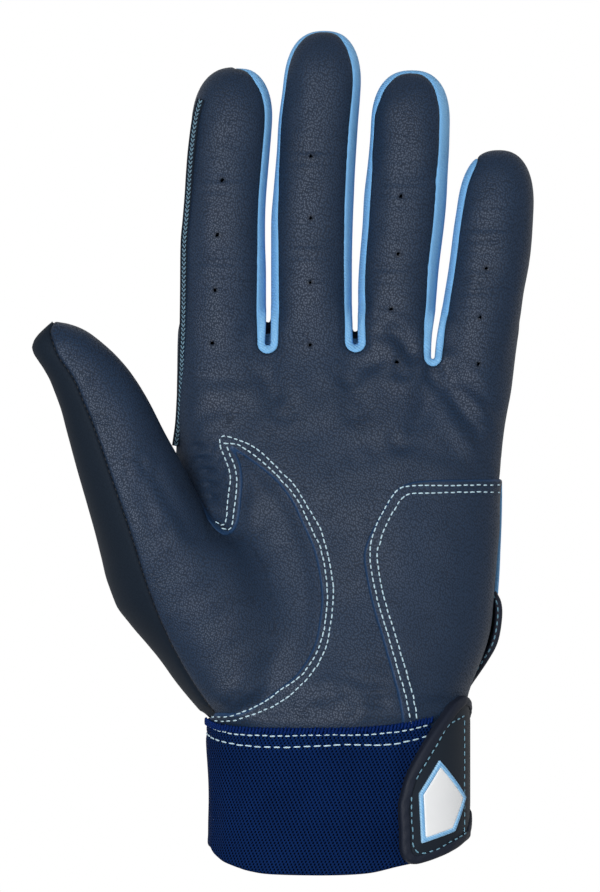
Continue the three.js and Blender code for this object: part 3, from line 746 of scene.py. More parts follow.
class Hand:
    """The leather hand of the glove, filled out, as one field and the skin on it."""

    def __init__(self, cell: float) -> None:
        """Sets up the limbs.

        Args:
            cell: the step of the grid that the skin is found on, in millimetres.
        """
        self.cell = cell
        start, length, m = PALM_DOME
        dome = (float(along(start)), length * PIXEL, m)
        self.palm = Limb(rows_of(PALM_EDGES, PALM_HEIGHTS), 2.35, dome, even=2.5)
        origin = tuple(at([THUMB_ORIGIN])[0])
        rows = np.asarray(THUMB_ROWS, float)
        self.thumb = Limb(rows, 2.3, THUMB_DOME, origin, THUMB_LEAN, tilt=THUMB_TILT)
        (cx, cz), (a, c) = WRIST_CENTRE, WRIST_HALF
        tube = np.array([(y, cx - a, cx + a, cz - c, cz + c) for y in (-140.0, -100.0, 0.0, 140.0)])
        self.wrist = Limb(tube, WRIST_POWER, (200.0, 1.0, 2.0))
        self.root_line = at(ROOT_LINE)
        self.waves = np.random.default_rng(WAVE_SEED).normal(0, 1, (14, 4))

    def gap(self, index: int, x: Array, y: Array) -> tuple[Array, Array]:
        """One gap between fingers.

        In words: above the bottom's centre the distance is |x - c| - g, with c the gap's middle
        and g its half width; below it is the distance from that centre less its radius.

        Args:
            index: 0 for the gap beside the index finger, up to 2.
            x: places across.
            y: places along.
        Returns:
            The distance outside the gap and the gap's middle.
        """
        centre = float(along(GAP_CENTRES[index]))
        clamped = np.maximum(y, centre)
        left = FINGERS[index].edge(clamped, Side.RIGHT)
        right = FINGERS[index + 1].edge(clamped, Side.LEFT)
        middle, half = (left + right) / 2, np.maximum((right - left) / 2, 0.55)
        return np.hypot(x - middle, np.minimum(y - centre, 0)) - half, middle

    def rounding(self, points: Array) -> tuple[Array, Array]:
        """How far down a side each point lies, pointing away from the middle, in X and Y.

        In words: added to a point's X and Y, this lays a pattern round the limbs' sides as if
        they were rolled out, instead of drawing it out.
        """
        x, y, z = points.T
        best, made = np.full(len(points), 1e9), np.zeros((2, len(points)))
        for limb in (self.palm, self.thumb, *(finger.limb for finger in FINGERS)):
            lx, ly = limb.local(x, y)
            left, right, low, high = limb.sections(ly)
            dx, beyond = lx - (left + right) / 2, np.maximum(ly - limb.dome[0], 0)
            height = np.abs(z - (low + high) / 2 + limb.tilt * dx)
            drop = np.maximum((high - low) / 2 - height - 1, 0)
            away = np.maximum(np.hypot(dx, beyond), 4)
            reach = limb.reach(x, y, z)
            near = reach < best
            best = np.where(near, reach, best)
            made = np.where(near, np.stack([drop * dx / away, drop * beyond / away]), made)
        return made[0], made[1]

    def folds(self, points: Array) -> Array:
        """How high the leather stands off its filled form: gentle waves less its creases."""
        high = ease(points[:, 2], 9.0, 15.0)
        made = np.zeros(len(points))
        for a, b, c, phase in self.waves:
            made += 0.035 * np.sin(points @ (np.array([a, b, c]) * 0.34) + phase * 9)
        for fold in FOLDS:
            near = fold.depth_at(points[:, :2])
            made -= near * high
        for finger in FINGERS:
            made -= self.joint_creases(finger, points) * high
        return made

    def joint_creases(self, finger: Finger, points: Array) -> Array:
        """Soft creases across a finger where its joints bend."""
        x, y = points[:, 0], points[:, 1]
        left, right = finger.edge(y, Side.LEFT), finger.edge(y, Side.RIGHT)
        within = ease(x, left - 1, left + 3) * ease(-x, -right - 1, -right + 3)
        made = np.zeros(len(points))
        for row in finger.joints:
            bow = 0.5 * ((x - (left + right) / 2) / 10) ** 2
            for offset, depth, width in JOINT_CREASES:
                made += depth * np.exp(-(((y - along(row) - offset - bow) / width) ** 2))
        return made * within

    @staticmethod
    def valley(x: Array, y: Array) -> Array:
        """How far the palm is sunk beside the thumb: a bell along and across a line."""
        (from_x, from_y), (to_x, to_y) = at(THUMB_VALLEY)
        length = math.hypot(to_x - from_x, to_y - from_y)
        ux, uy = (to_x - from_x) / length, (to_y - from_y) / length
        run = (x - from_x) * ux + (y - from_y) * uy - length / 2
        aside = (x - from_x) * uy - (y - from_y) * ux
        return VALLEY_DEPTH * np.exp(-((run / (0.6 * length)) ** 2) - (aside / VALLEY_WIDTH) ** 2)

    def cuffed(self, body: Array, x: Array, y: Array, z: Array) -> Array:
        """A field drawn in to the wrist's tube, which opens out above the cuff's top."""
        top = np.interp(x, across(CUFF_TOP_X), along(CUFF_TOP_Y))
        top = top - TUCK_CORNER_DROP * (1 - ease(x, *TUCK_CORNER))
        tube = self.wrist.reach(x, y, z) + TUCK
        opened = tube - 6 * ease(y - top, -0.9, 2.4) - 4 * np.maximum(y - top - 1, 0)
        return blend_most(body, opened, CUFF_ROOM)

    def field(self, x: Array, y: Array, z: Array) -> Array:
        """The filled hand: negative inside, and about the distance in millimetres outside.

        In words: the palm, less the gaps between the fingers, is joined smoothly to the fingers
        and the thumb. The join's room shrinks beside a gap and beyond the thumb's bend.
        """
        behind = 1 - ease(z, 4.0, 7.0)
        gaps = [self.gap(i, x, y - web * behind)[0] for i, web in enumerate(BACK_WEBS)]
        slot = np.minimum(np.minimum(gaps[0], gaps[1]), gaps[2])
        sunk = self.palm.reach(x, y, z) + self.valley(x, y) * ease(z, 12.0, 20.0)
        palm = blend_most(sunk, -slot, GAP_ROOM)
        fingers = np.minimum.reduce([f.limb.reach(x, y, z) for f in FINGERS])
        body = blend_least(palm, fingers, np.clip(1.3 * slot, 0.25, FINGER_ROOM))
        _, ly = self.thumb.local(x, y)
        room = 0.5 + THUMB_ROOM * (1 - ease(ly, -26, -6)) * (0.3 + 0.7 * ease(ly, -64, -50))
        body = blend_least(body, self.thumb.reach(x, y, z), room)
        body = self.cuffed(body, x, y, z)
        (cx, cy), (wide, long) = at([HOLLOW])[0], HOLLOW_SIZE
        hollow = np.exp(-(((x - cx) / wide) ** 2) - ((y - cy) / long) ** 2)
        body = body + HOLLOW_DEPTH * hollow * ease(z, 16.0, 24.0)
        return blend_most(body, FLOOR_GAP - z, FLOOR_ROOM)

    def rise(self, p: Array, h: float) -> Array:
        """By how much the field grows along each axis, from h before to h beyond each point."""
        return np.stack([
            self.field(*(p + h * axis).T) - self.field(*(p - h * axis).T) for axis in np.eye(3)
        ], 1)

    def settle(self, points: Array) -> tuple[Array, Array]:
        """Moves points onto the filled hand down the field's slope, and finds their normals."""
        p, h = points.copy(), 0.04
        for _ in range(4):
            f = self.field(p[:, 0], p[:, 1], p[:, 2])
            slope = self.rise(p, h) / (2 * h)
            size = np.maximum(np.linalg.norm(slope, axis=1), 1e-6)
            step = np.clip(f / size, -0.4, 0.4)
            p -= slope / size[:, None] * step[:, None]
        return p, slope / size[:, None]

    def skin(self) -> Skin:
        """The whole surface of the filled hand, open where the leather ends in the cuff."""
        low = np.array([CAD_BOX[0][0] / MILLIMETRE - 2, float(along(HEM)) - 3, -1.5])
        high = np.array([CAD_BOX[1][0] / MILLIMETRE + 2, CAD_BOX[1][1] / MILLIMETRE + 2, 48.5])
        points, faces = surface_net(self.field, low, high, self.cell)
        settled, normals = self.settle(points)
        whole = Skin(settled, faces, self.settle, normals)
        return whole.parted(lambda p: p[:, 1], float(along(HEM)))[1]

    def top(self, xy: Array) -> tuple[Array, Array]:
        """Where plumb lines from above meet the filled hand, and the normals there."""
        z = np.full(len(xy), 50.0)
        for _ in range(60):
            z -= np.clip(self.field(xy[:, 0], xy[:, 1], z) * 0.7, -0.5, 2.0)
        below, above = z - 1.0, z + 1.0
        for _ in range(24):
            middle = (below + above) / 2
            outside = self.field(xy[:, 0], xy[:, 1], middle) > 0
            above = np.where(outside, middle, above)
            below = np.where(outside, below, middle)
        points = np.column_stack([xy, (below + above) / 2])
        return points, unit(self.rise(points, 0.05))


def joined(operation: str, turned: bool = False) -> Callable[["Wire", Any], "Wire"]:
    """A Python operator between two wires, or a wire and a number, that adds a Math node.

    Args:
        operation: the node's operation.
        turned: whether the two change places.
    Returns:
        The operator, as a method of Wire.
    """
    def method(wire: "Wire", other: Any) -> "Wire":
        """The result of the operation."""
        return wire.sum(operation, *((other, wire) if turned else (wire, other)))
    return method


class Wire:
    """A shader socket that takes part in sums written in Python."""

    __add__ = __radd__ = joined("ADD")
    __sub__, __rsub__ = joined("SUBTRACT"), joined("SUBTRACT", True)
    __mul__ = __rmul__ = joined("MULTIPLY")

    def __init__(self, bench: "Bench", socket: Any) -> None:
        """Keeps the socket and the material it belongs to."""
        self.bench, self.socket = bench, socket

    def sum(self, operation: str, *values: Any) -> "Wire":
        """Adds a Math node.

        Args:
            operation: the node's operation.
            values: its values or wires; without any, it works on this wire.
        Returns:
            The node's result.
        """
        inputs = dict(enumerate(values or (self,)))
        return self.bench.node("ShaderNodeMath", {"operation": operation}, inputs)

    def eased(self, start: float, end: float) -> "Wire":
        """A smooth step from 0 at start to 1 at end."""
        settings = {"interpolation_type": "SMOOTHSTEP", "clamp": True}
        return self.bench.node("ShaderNodeMapRange", settings, {0: self, 1: start, 2: end})


class Bench:
    """The nodes of one material, or of the world, in the making."""

    def __init__(self, owner: Any) -> None:
        """Empties the nodes of a material or world."""
        owner.use_nodes = True
        self.owner, self.tree = owner, owner.node_tree
        self.tree.nodes.clear()

    def node(self, kind: str, settings: dict[str, Any], inputs: dict[Any, Any],
             output: Any = 0) -> Wire:
        """Makes a node.

        Args:
            kind: the node's type.
            settings: its own properties, set first.
            inputs: values or wires by socket name or number.
            output: the socket to return, by name or number.
        Returns:
            The chosen output.
        """
        made = self.tree.nodes.new(kind)
        for key, value in settings.items():
            setattr(made, key, value)
        for key, value in inputs.items():
            if isinstance(value, Wire):
                self.tree.links.new(value.socket, made.inputs[key])
            else:
                made.inputs[key].default_value = value
        return Wire(self, made.outputs[output] if len(made.outputs) else None)

    def place(self) -> Wire:
        """Where a point of the mesh lies at rest, in millimetres, so that patterns bend with it."""
        return self.node("ShaderNodeAttribute", {"attribute_name": "rest"}, {}, "Vector")

    def mark(self, name: str) -> Wire:
        """A measure that the mesh carries at its points."""
        return self.node("ShaderNodeAttribute", {"attribute_name": name}, {}, "Fac")

    def noise(self, where: Wire, scale: float, detail: float = 2.0, output: str = "Fac") -> Wire:
        """Soft noise with a size of one over scale millimetres."""
        values = {"Vector": where, "Scale": scale, "Detail": detail}
        return self.node("ShaderNodeTexNoise", {}, values, output)

    def mixed(self, share: Any, first: Any, second: Any) -> Wire:
        """A colour between two others."""
        settings = {"data_type": "RGBA", "clamp_factor": True}
        return self.node("ShaderNodeMix", settings, {0: share, 6: first, 7: second}, 2)

    def bumped(self, height: Wire, depth: float, strength: float) -> Wire:
        """A normal from a height between 0 and 1.

        Args:
            height: the relief.
            depth: how deep a height of 1 is, in millimetres.
            strength: how much of it shows.
        Returns:
            The normal.
        """
        values = {"Height": height, "Distance": depth * MILLIMETRE, "Strength": strength}
        return self.node("ShaderNodeBump", {}, values)

    def finished(self, colour: Any, roughness: Any, normal: Wire,
                 **constants: float) -> bpy.types.Material:
        """Ends the material with its shader.

        Args:
            colour: the base colour.
            roughness: the roughness.
            normal: the bumped normal.
            constants: other values of the shader, the same all over.
        Returns:
            The material.
        """
        values = {"Base Color": colour, "Roughness": roughness}
        values.update({key.replace("_", " "): value for key, value in constants.items()})
        values["Normal"] = normal
        return self.end(self.node("ShaderNodeBsdfPrincipled", {}, values))

    def end(self, shader: Wire, kind: str = "ShaderNodeOutputMaterial") -> Any:
        """Joins a shader to the output, and hands back the material or world."""
        self.node(kind, {}, {"Surface": shader})
        return self.owner


Colour = tuple[float, float, float, float]


def tone(red: int, green: int, blue: int) -> Colour:
    """A colour given as it looks on screen, 0 to 255, as the linear colour of a material."""
    def linear(value: float) -> float:
        """One channel: (v + 0.055) / 1.055 to the power 2.4 above the dark end."""
        v = value / 255
        return v / 12.92 if v <= 0.04045 else ((v + 0.055) / 1.055) ** 2.4
    return linear(red), linear(green), linear(blue), 1.0


@dataclass(frozen=True)
class Finish:
    """What a piece is made of.

    Attributes:
        name: the finish's name.
        slot: the record's material slot that it belongs to, which is not used.
    """

    name: str
    slot: str

    def bench(self) -> Bench:
        """The empty nodes of the finish's material."""
        return Bench(bpy.data.materials.new(self.name))

    def material(self) -> bpy.types.Material:
        """Makes the material; each kind of finish has its own."""
        raise NotImplementedError


@dataclass(frozen=True)
class Leather(Finish):
    """Grained or smooth glove leather.

    Attributes:
        top: the colour of the grain's tops.
        groove: the colour between them, which also paints the shade along the seams and in the
            creases.
        worn: the colour of rubbed edges.
        grain: how strong the grain is, from 0, smooth.
        cell: the size of a grain in millimetres.
        rough: the roughness.
        creased: how strong fine diagonal creases are, in relief and in their painted shade.
        relief: how deep the grain is, in millimetres.
        shine: the shader's specular level.
    """

    top: Colour
    groove: Colour
    worn: Colour
    grain: float = 1.0
    cell: float = 0.66
    rough: float = 0.5
    creased: float = 0.0
    relief: float = 0.07
    shine: float = 0.4

    def material(self) -> bpy.types.Material:
        """Pebbled cells, fine pores, wrinkles, broad shade, raw edges, painted shade at seams and
        creases.
        """
        b = self.bench()
        where = b.place()
        drift = b.noise(where, 0.22, 2.0, "Color")
        shifted = b.node("ShaderNodeVectorMath", {"operation": "MULTIPLY_ADD"},
                         {0: drift, 1: (1.4, 1.4, 1.4), 2: where})
        rolled = b.node("ShaderNodeCombineXYZ", {}, {0: b.mark("round_x"), 1: b.mark("round_y")})
        spread = b.node("ShaderNodeVectorMath", {"operation": "ADD"}, {0: shifted, 1: rolled})
        spread = b.node("ShaderNodeMapping", {},
                        {"Vector": spread, "Rotation": (0, 0, 0.3), "Scale": (1, 0.84, 1)})
        cells = b.node("ShaderNodeTexVoronoi", {"voronoi_dimensions": "2D"},
                       {"Vector": spread, "Scale": 1 / self.cell, "Randomness": 0.75}, "Distance")
        pebble = 1 - cells.eased(0.12, 0.62)
        fine = b.noise(where, 3.4, 2.0)
        broad = b.noise(where, 0.05, 2.0)
        patch = b.noise(where, 0.16, 1.0)
        lined = b.node("ShaderNodeMapping", {}, {"Vector": shifted, "Scale": (0.14, 0.8, 0.5)})
        ridge = (b.noise(lined, 1.0, 1.0) - 0.5).sum("ABSOLUTE").eased(0.0, 0.03)
        wrinkle = (1 - ridge) * patch.eased(0.5, 0.7) * self.grain
        shade = pebble * (0.2 + 0.5 * self.grain) + fine * 0.16
        # Painted shade: the fine wrinkle lines darken the colour; the broad noise varies it at
        # random.
        shade = shade + (broad - 0.5) * 0.35 - wrinkle * 0.35
        colour = b.mixed(shade.eased(-0.1, 0.95), self.groove, self.top)
        # Painted shade: the colour darkens to the groove colour near every seam, by the 'seam'
        # mark.
        colour = b.mixed(1 - b.mark("seam").eased(0.1, 0.8), colour, self.groove)
        raw = (1 - b.mark("edge").eased(0.35, 0.8)) * (0.6 + fine * 0.5)
        colour = b.mixed(raw, colour, self.worn)
        relief = pebble * self.grain + fine * (0.15 + 0.1 * self.grain) - wrinkle * 1.2
        if self.creased:
            turned = b.node("ShaderNodeMapping", {},
                            {"Vector": shifted, "Rotation": (0.3, 0.2, 0.6)})
            lines = b.node("ShaderNodeTexWave", {"wave_type": "BANDS", "bands_direction": "Y"},
                           {"Vector": turned, "Scale": 0.48, "Distortion": 6.0, "Detail": 2.0,
                            "Detail Scale": 0.6}, "Fac")
            crease = (1 - lines.eased(0.0, 0.4)) * self.creased
            relief = relief - crease * 1.5
            # Painted shade: the colour darkens to the groove colour along the creases.
            colour = b.mixed(crease * 0.45, colour, self.groove)
        rough = self.rough + (1 - pebble) * (0.25 * self.grain) + (broad - 0.5) * 0.1
        normal = b.bumped(relief, self.relief, 1.0)
        return b.finished(colour, rough, normal, Specular_IOR_Level=self.shine)


@dataclass(frozen=True)
class Knit(Finish):
    """Elastic knit: staggered dark pits between raised loops, laid out round and along the cuff.

    Attributes:
        loop: the colour of the loops.
        pit: the colour between them.
        across: the distance between pits round the cuff, in millimetres.
        along: the distance between their rows.
        lean: how far a column of pits leans, per millimetre.
    """

    loop: Colour
    pit: Colour
    across: float = 1.09
    along: float = 0.73
    lean: float = 0.3

    def material(self) -> bpy.types.Material:
        """The pits follow cos(2 pi u / across) times cos(pi v / along), on the mesh's u and v."""
        b = self.bench()
        where = b.place()
        u, v = b.mark("u"), b.mark("v")
        columns = ((u + v * self.lean) * (2 * math.pi / self.across)).sum("COSINE")
        lattice = columns * (v * (math.pi / self.along)).sum("COSINE")
        pit = lattice.eased(0.0, 0.6)
        twist = (u * (math.pi / self.across) + v * (math.pi / self.along)).sum("SINE")
        fine = b.noise(where, 3.2, 2.0)
        broad = b.noise(where, 0.07, 2.0)
        shade = pit * 0.95 + (1 - fine) * 0.2 - (broad - 0.5) * 0.4
        colour = b.mixed(shade, self.loop, self.pit)
        relief = (1 - pit) + twist * 0.15 + fine * 0.2
        return b.finished(colour, 0.9, b.bumped(relief, 0.25, 0.8), Specular_IOR_Level=0.03)


@dataclass(frozen=True)
class Thread(Finish):
    """Twisted sewing thread.

    Attributes:
        light: the colour of its strands.
        dark: the colour between them.
        shine: the shader's specular level.
    """

    light: Colour
    dark: Colour
    shine: float = 0.4

    def material(self) -> bpy.types.Material:
        """Fine strands across the stitch, from small noise."""
        b = self.bench()
        where = b.place()
        strand = b.noise(where, 7.0, 1.0)
        colour = b.mixed(strand.eased(0.35, 0.65), self.dark, self.light)
        return b.finished(colour, 0.6, b.bumped(strand, 0.06, 0.5), Specular_IOR_Level=self.shine)


@dataclass(frozen=True)
class Pile(Finish):
    """Hook or loop pile of a closure, with the colours of its tufts and their pitch."""

    top: Colour
    deep: Colour
    pitch: float

    def material(self) -> bpy.types.Material:
        """Close rows of small tufts."""
        b = self.bench()
        where = b.place()
        tufts = b.node("ShaderNodeTexVoronoi", {},
                       {"Vector": where, "Scale": 1 / self.pitch}, "Distance")
        height = 1 - tufts.eased(0.0, 0.55)
        colour = b.mixed(height, self.deep, self.top)
        return b.finished(colour, 0.95, b.bumped(height, 0.3, 0.9))


@dataclass(frozen=True)
class Coated(Finish):
    """A smooth write-on patch, with the colours of its middle and its shaded parts."""

    light: Colour
    shade: Colour
    rough: float = 0.42

    def material(self) -> bpy.types.Material:
        """A nearly even coat with a faint broad shade and a fine emboss."""
        b = self.bench()
        where = b.place()
        broad = b.noise(where, 0.12, 2.0)
        fine = b.noise(where, 4.0, 2.0)
        edge = b.mark("edge")
        shade = (1 - edge.eased(0.0, 0.5)) * 0.5 + (broad - 0.4) * 0.5
        colour = b.mixed(shade, self.light, self.shade)
        return b.finished(colour, self.rough + (fine - 0.5) * 0.08, b.bumped(fine, 0.03, 0.4))


PALM_LEATHER = Leather(
    "palm_leather_finish", "navy_leather", tone(29, 51, 78), tone(19, 34, 53), tone(26, 60, 98),
    cell=0.58, rough=0.46, relief=0.045, shine=0.36)
SIDE_LEATHER = Leather(
    "side_leather_finish", "dark_leather", tone(30, 42, 56), tone(22, 31, 42), tone(40, 54, 72),
    grain=0.15, cell=0.6, rough=0.7, relief=0.02, shine=0.12)
STRAP_LEATHER = Leather(
    "strap_leather_finish", "dark_leather", tone(40, 50, 62), tone(28, 36, 46), tone(44, 54, 68),
    grain=0.12, cell=0.6, rough=0.62, relief=0.02, shine=0.2)
BINDING_LEATHER = Leather(
    "binding_leather_finish", "dark_leather", tone(41, 49, 67), tone(28, 34, 48), tone(46, 54, 72),
    grain=0.2, cell=0.7, rough=0.58, relief=0.04, shine=0.22)
SKY_LEATHER = Leather(
    "sky_leather_finish", "sky_leather", tone(166, 218, 252), tone(124, 186, 238),
    tone(176, 222, 252), grain=0.25, cell=0.6, rough=0.65, creased=1.0, relief=0.07, shine=0.3)
KNIT = Knit("cuff_knit_finish", "cuff_knit", tone(14, 40, 88), tone(0, 2, 12))
PALE_THREAD = Thread("pale_thread", "sky_leather", tone(216, 236, 244), tone(160, 196, 214))
TEAL_THREAD = Thread("teal_thread", "sky_leather", tone(132, 176, 196), tone(84, 128, 150))
BLACK_THREAD = Thread("black_thread", "dark_leather", tone(14, 17, 24), tone(4, 5, 9))
STRIP_THREAD = Thread("strip_thread", "sky_leather", tone(128, 166, 186), tone(58, 84, 104))
NAVY_THREAD = Thread("navy_thread", "cuff_knit", tone(8, 46, 118), tone(2, 14, 48), 0.06)
HOOK_PILE = Pile("hook_pile", "pile", tone(30, 36, 48), tone(8, 10, 16), 0.9)
LOOP_PILE = Pile("loop_pile", "pile", tone(38, 46, 62), tone(12, 15, 24), 0.6)
WHITE_PATCH = Coated("number_patch_white", "badge", tone(250, 250, 250), tone(236, 238, 240))


def linked(name: str, data: Any) -> bpy.types.Object:
    """A new object, put into the scene at the origin."""
    made = bpy.data.objects.new(name, data)
    bpy.context.scene.collection.objects.link(made)
    return made


class Workshop:
    """Makes Blender objects of finished surfaces, each with the material of its finish."""

    def __init__(self) -> None:
        """Starts with no finishes made."""
        self.finishes: dict[str, bpy.types.Material] = {}

    def finish(self, finish: Finish) -> bpy.types.Material:
        """A finish's material, made once."""
        if finish.name not in self.finishes:
            self.finishes[finish.name] = finish.material()
        return self.finishes[finish.name]

    def mesh(self, name: str, points: Array, faces: Array, finish: Finish,
             marks: dict[str, Array] | None = None, sharp: Array | None = None) -> bpy.types.Object:
        """Puts points and triangles into a smooth mesh object at the origin.

        Args:
            name: the piece's name.
            points: its points in millimetres.
            faces: its triangles.
            finish: its finish.
            marks: measures at its points.
            sharp: rows of point pairs whose edges stay crisp.
        Returns:
            The object.
        """
        mesh = bpy.data.meshes.new(name)
        mesh.vertices.add(len(points))
        mesh.vertices.foreach_set("co", (points * MILLIMETRE).astype(np.float32).ravel())
        mesh.loops.add(faces.size)
        mesh.loops.foreach_set("vertex_index", faces.astype(np.int32).ravel())
        mesh.polygons.add(len(faces))
        mesh.polygons.foreach_set("loop_start", np.arange(0, faces.size, 3, dtype=np.int32))
        mesh.polygons.foreach_set("use_smooth", np.ones(len(faces), bool))
        mesh.update(calc_edges=True)
        mesh.validate()
        rest = mesh.attributes.new("rest", "FLOAT_VECTOR", "POINT")
        rest.data.foreach_set("vector", points.astype(np.float32).ravel())
        for key, row in (marks or {}).items():
            mark = mesh.attributes.new(key, "FLOAT", "POINT")
            mark.data.foreach_set("value", row.astype(np.float32))
        if sharp is not None and len(sharp):
            pairs = np.empty(len(mesh.edges) * 2, np.int32)
            mesh.edges.foreach_get("vertices", pairs)
            count = len(points) + 1
            keys = np.sort(pairs.reshape(-1, 2), 1) @ np.array([count, 1])
            crisp = np.isin(keys, np.sort(sharp, 1) @ np.array([count, 1]))
            mesh.attributes.new("sharp_edge", "BOOLEAN", "EDGE").data.foreach_set("value", crisp)
        mesh.materials.append(self.finish(finish))
        made = linked(name, mesh)
        LOG.info("%s: %d points, %d faces", name, len(points), len(faces))
        return made

    def panel(self, name: str, skin: Skin, finish: Finish, wall: float = WALL) -> bpy.types.Object:
        """A closed panel: the surface, the same surface a wall lower and a rim between them."""
        skin = skin.tidy()
        points, faces, marks, sharp = skin.closed(skin.points - skin.normals * wall)
        return self.mesh(name, points, faces, finish, marks, sharp)

    def threads(self, name: str, centres: Array, runs: Array, ups: Array, sizes: Array,
                finish: Finish) -> bpy.types.Object:
        """Many stitches as one piece; the rows are those of beads_along."""
        points, faces = beads_along(centres, runs, ups, sizes)
        return self.mesh(name, points, faces, finish)


def dipped(distance: Array, drop: float = SEAM_DROP, width: float = EDGE_ROUND) -> Array:
    """A rounded edge: -drop at the edge, rising as a quarter circle to 0 a width away."""
    u = np.clip(distance / width, 0, 1)
    return -drop * (1 - np.sqrt(np.maximum(1 - (1 - u) ** 2, 0)))


PALM_CUT = (  # the palm leather's cut edge beside the thumb, clockwise from the pointed corner
    (232, 448), (254, 463), (276, 481), (292, 502), (301, 521), (314, 551), (321, 588), (320, 614),
    (314, 644), (299, 670), (280, 687), (245, 711), (214, 714),
)
THUMB_OUTSIDE = (
    (206, 722), (200, 752), (100, 770), (20, 700), (-20, 500), (-20, 300), (150, 290), (158, 380),
    (167, 420), (172, 446), (180, 464), (191, 482), (200, 502),
)
HORN_LEFT = (
    (200, 504), (203, 509), (210, 518.8), (217.5, 528), (226, 533.4), (234, 529.5), (238.6, 518),
    (240.6, 500), (242.3, 482), (241, 467), (237.5, 455.5), (232, 448),
)
HEEL_EDGE = (
    (502, 479), (469, 479.5), (423, 480.5), (406, 484), (394, 492), (384, 508), (372, 530),
    (364, 551), (365, 571), (372, 605), (382, 639), (392.5, 677), (400, 709), (404, 760),
)
HEEL_REST = ((404, 760), (560, 760), (560, 479), (502, 479))
THUMB_SEAM = (  # between the thumb's front and its side, from the tip
    (54.6, 322.2), (50.8, 327.9), (50.6, 332.9), (52.1, 338.6), (55, 347.4), (59.3, 357.9),
    (67.9, 370), (75, 381.4), (82.1, 398.6), (90.7, 418.6), (99.3, 441.4), (108.6, 468.6),
    (121, 505), (134, 544), (149, 592), (166, 634), (188, 676), (214, 714),
)
THUMB_BACK = (
    (-80, 5.5), (-50, 5.5), (-40, 8), (-30, 13), (-20, 19), (-10, 24), (0, 27.2), (10, 28.6),
    (35, 30.5), (55, 32),
)
HOLES = (
    (222, 180), (217, 235), (215, 290), (212, 343), (311, 156), (311, 218), (310, 282), (310, 345),
    (401, 196), (398, 254), (391, 309), (397, 362), (486, 268), (480, 317), (478, 364),
)
HOLE_RADIUS = 0.55
RINGS = (0.06, 0.2, 0.45, 0.8)  # how far from an edge its rounding gets rows of points
HEEL_HEIGHT = 0.85  # the thickness of the patch over the heel
HEEL_FLOOR, HOLE_FLOOR = 13.0, 12  # the patch and the holes are only above these heights
# Left of these pixel columns and above these rows, a crease parts the thumb from the palm.
CREASE_COLUMNS, CREASE_ROWS = (210, 198), (600, 640)
THENAR_DIP = 4.5  # how wide the thumb's leather slopes down to pass under the palm's
MARK_REACH = 5.0  # how far from an edge its mark is still measured
FACING = (0.5, 0.95)  # the upward share of a normal over which folds come in
CROTCH_SPLIT = 30.0  # the Y at which a finger's middle parts the crotches beside it


@dataclass(frozen=True)
class Edge:
    """One sewn or cut edge of a panel.

    Attributes:
        measure: the field whose zero line is the edge.
        drop: how far below the panel's own level its surface is at the edge.
        width: how wide the way down is.
        soft: whether the way down is an even slope instead of a rounded edge.
        cut: whether the leather is cut there, with its raw edge in sight, instead of folded.
    """

    measure: Measure
    drop: float = SEAM_DROP
    width: float = EDGE_ROUND
    soft: bool = False
    cut: bool = False

    def dip(self, points: Array) -> Array:
        """How far the surface lies below its level, 0 or less."""
        distance = np.abs(self.measure(points))
        if self.soft:
            return -self.drop * (1 - ease(distance, 0.0, self.width))
        return dipped(distance, self.drop, self.width)


@dataclass
class Panel:
    """A leather panel: its part of the skin, its edges and the level that it lies at."""

    skin: Skin
    edges: tuple[Edge, ...] = ()
    level: float = 0.0

    def sewn(self, measure: Measure, below: Edge | None = None,
             above: Edge | None = None) -> "tuple[Panel, Panel]":
        """Cuts along a seam: the panel below the measure's zero and the one above it."""
        low, high = self.skin.parted(measure)
        own = Edge(measure)
        return (
            Panel(low, (*self.edges, below or own), self.level),
            Panel(high, (*self.edges, above or own), self.level),
        )

    def parted(self, measure: Measure) -> "tuple[Panel, Panel]":
        """Cuts where a joint needs two pieces, with no edge in the leather."""
        low, high = self.skin.parted(measure)
        return Panel(low, self.edges, self.level), Panel(high, self.edges, self.level)

    def distance(self, points: Array, cut: bool | None = None) -> Array:
        """The distance from the nearest rounded edge: of any kind, cut or folded."""
        chosen = [e for e in self.edges if not e.soft and cut in (None, e.cut)]
        near = [np.abs(e.measure(points)) for e in chosen]
        return np.minimum.reduce(near) if near else np.full(len(points), MARK_REACH)

    def shaped(self, hand: Hand) -> Skin:
        """The panel with its edges rounded and its folds pressed in."""
        skin = self.skin.ringed(self.distance, RINGS)
        dips = [edge.dip(skin.points) for edge in self.edges]
        height = np.minimum.reduce(dips) if dips else np.zeros(len(skin.points))
        facing = ease(skin.normals[:, 2], *FACING)
        made = skin.raised(height + self.level + hand.folds(skin.points) * facing)
        # The 'edge' mark gives cut edges their raw colour; the 'seam' mark, near every rounded
        # edge, paints shade along the seams.
        made.marks = {
            name: np.clip(self.distance(skin.points, cut), 0, MARK_REACH)
            for name, cut in (("edge", True), ("seam", False))
        }
        made.marks["round_x"], made.marks["round_y"] = hand.rounding(skin.points)
        return made


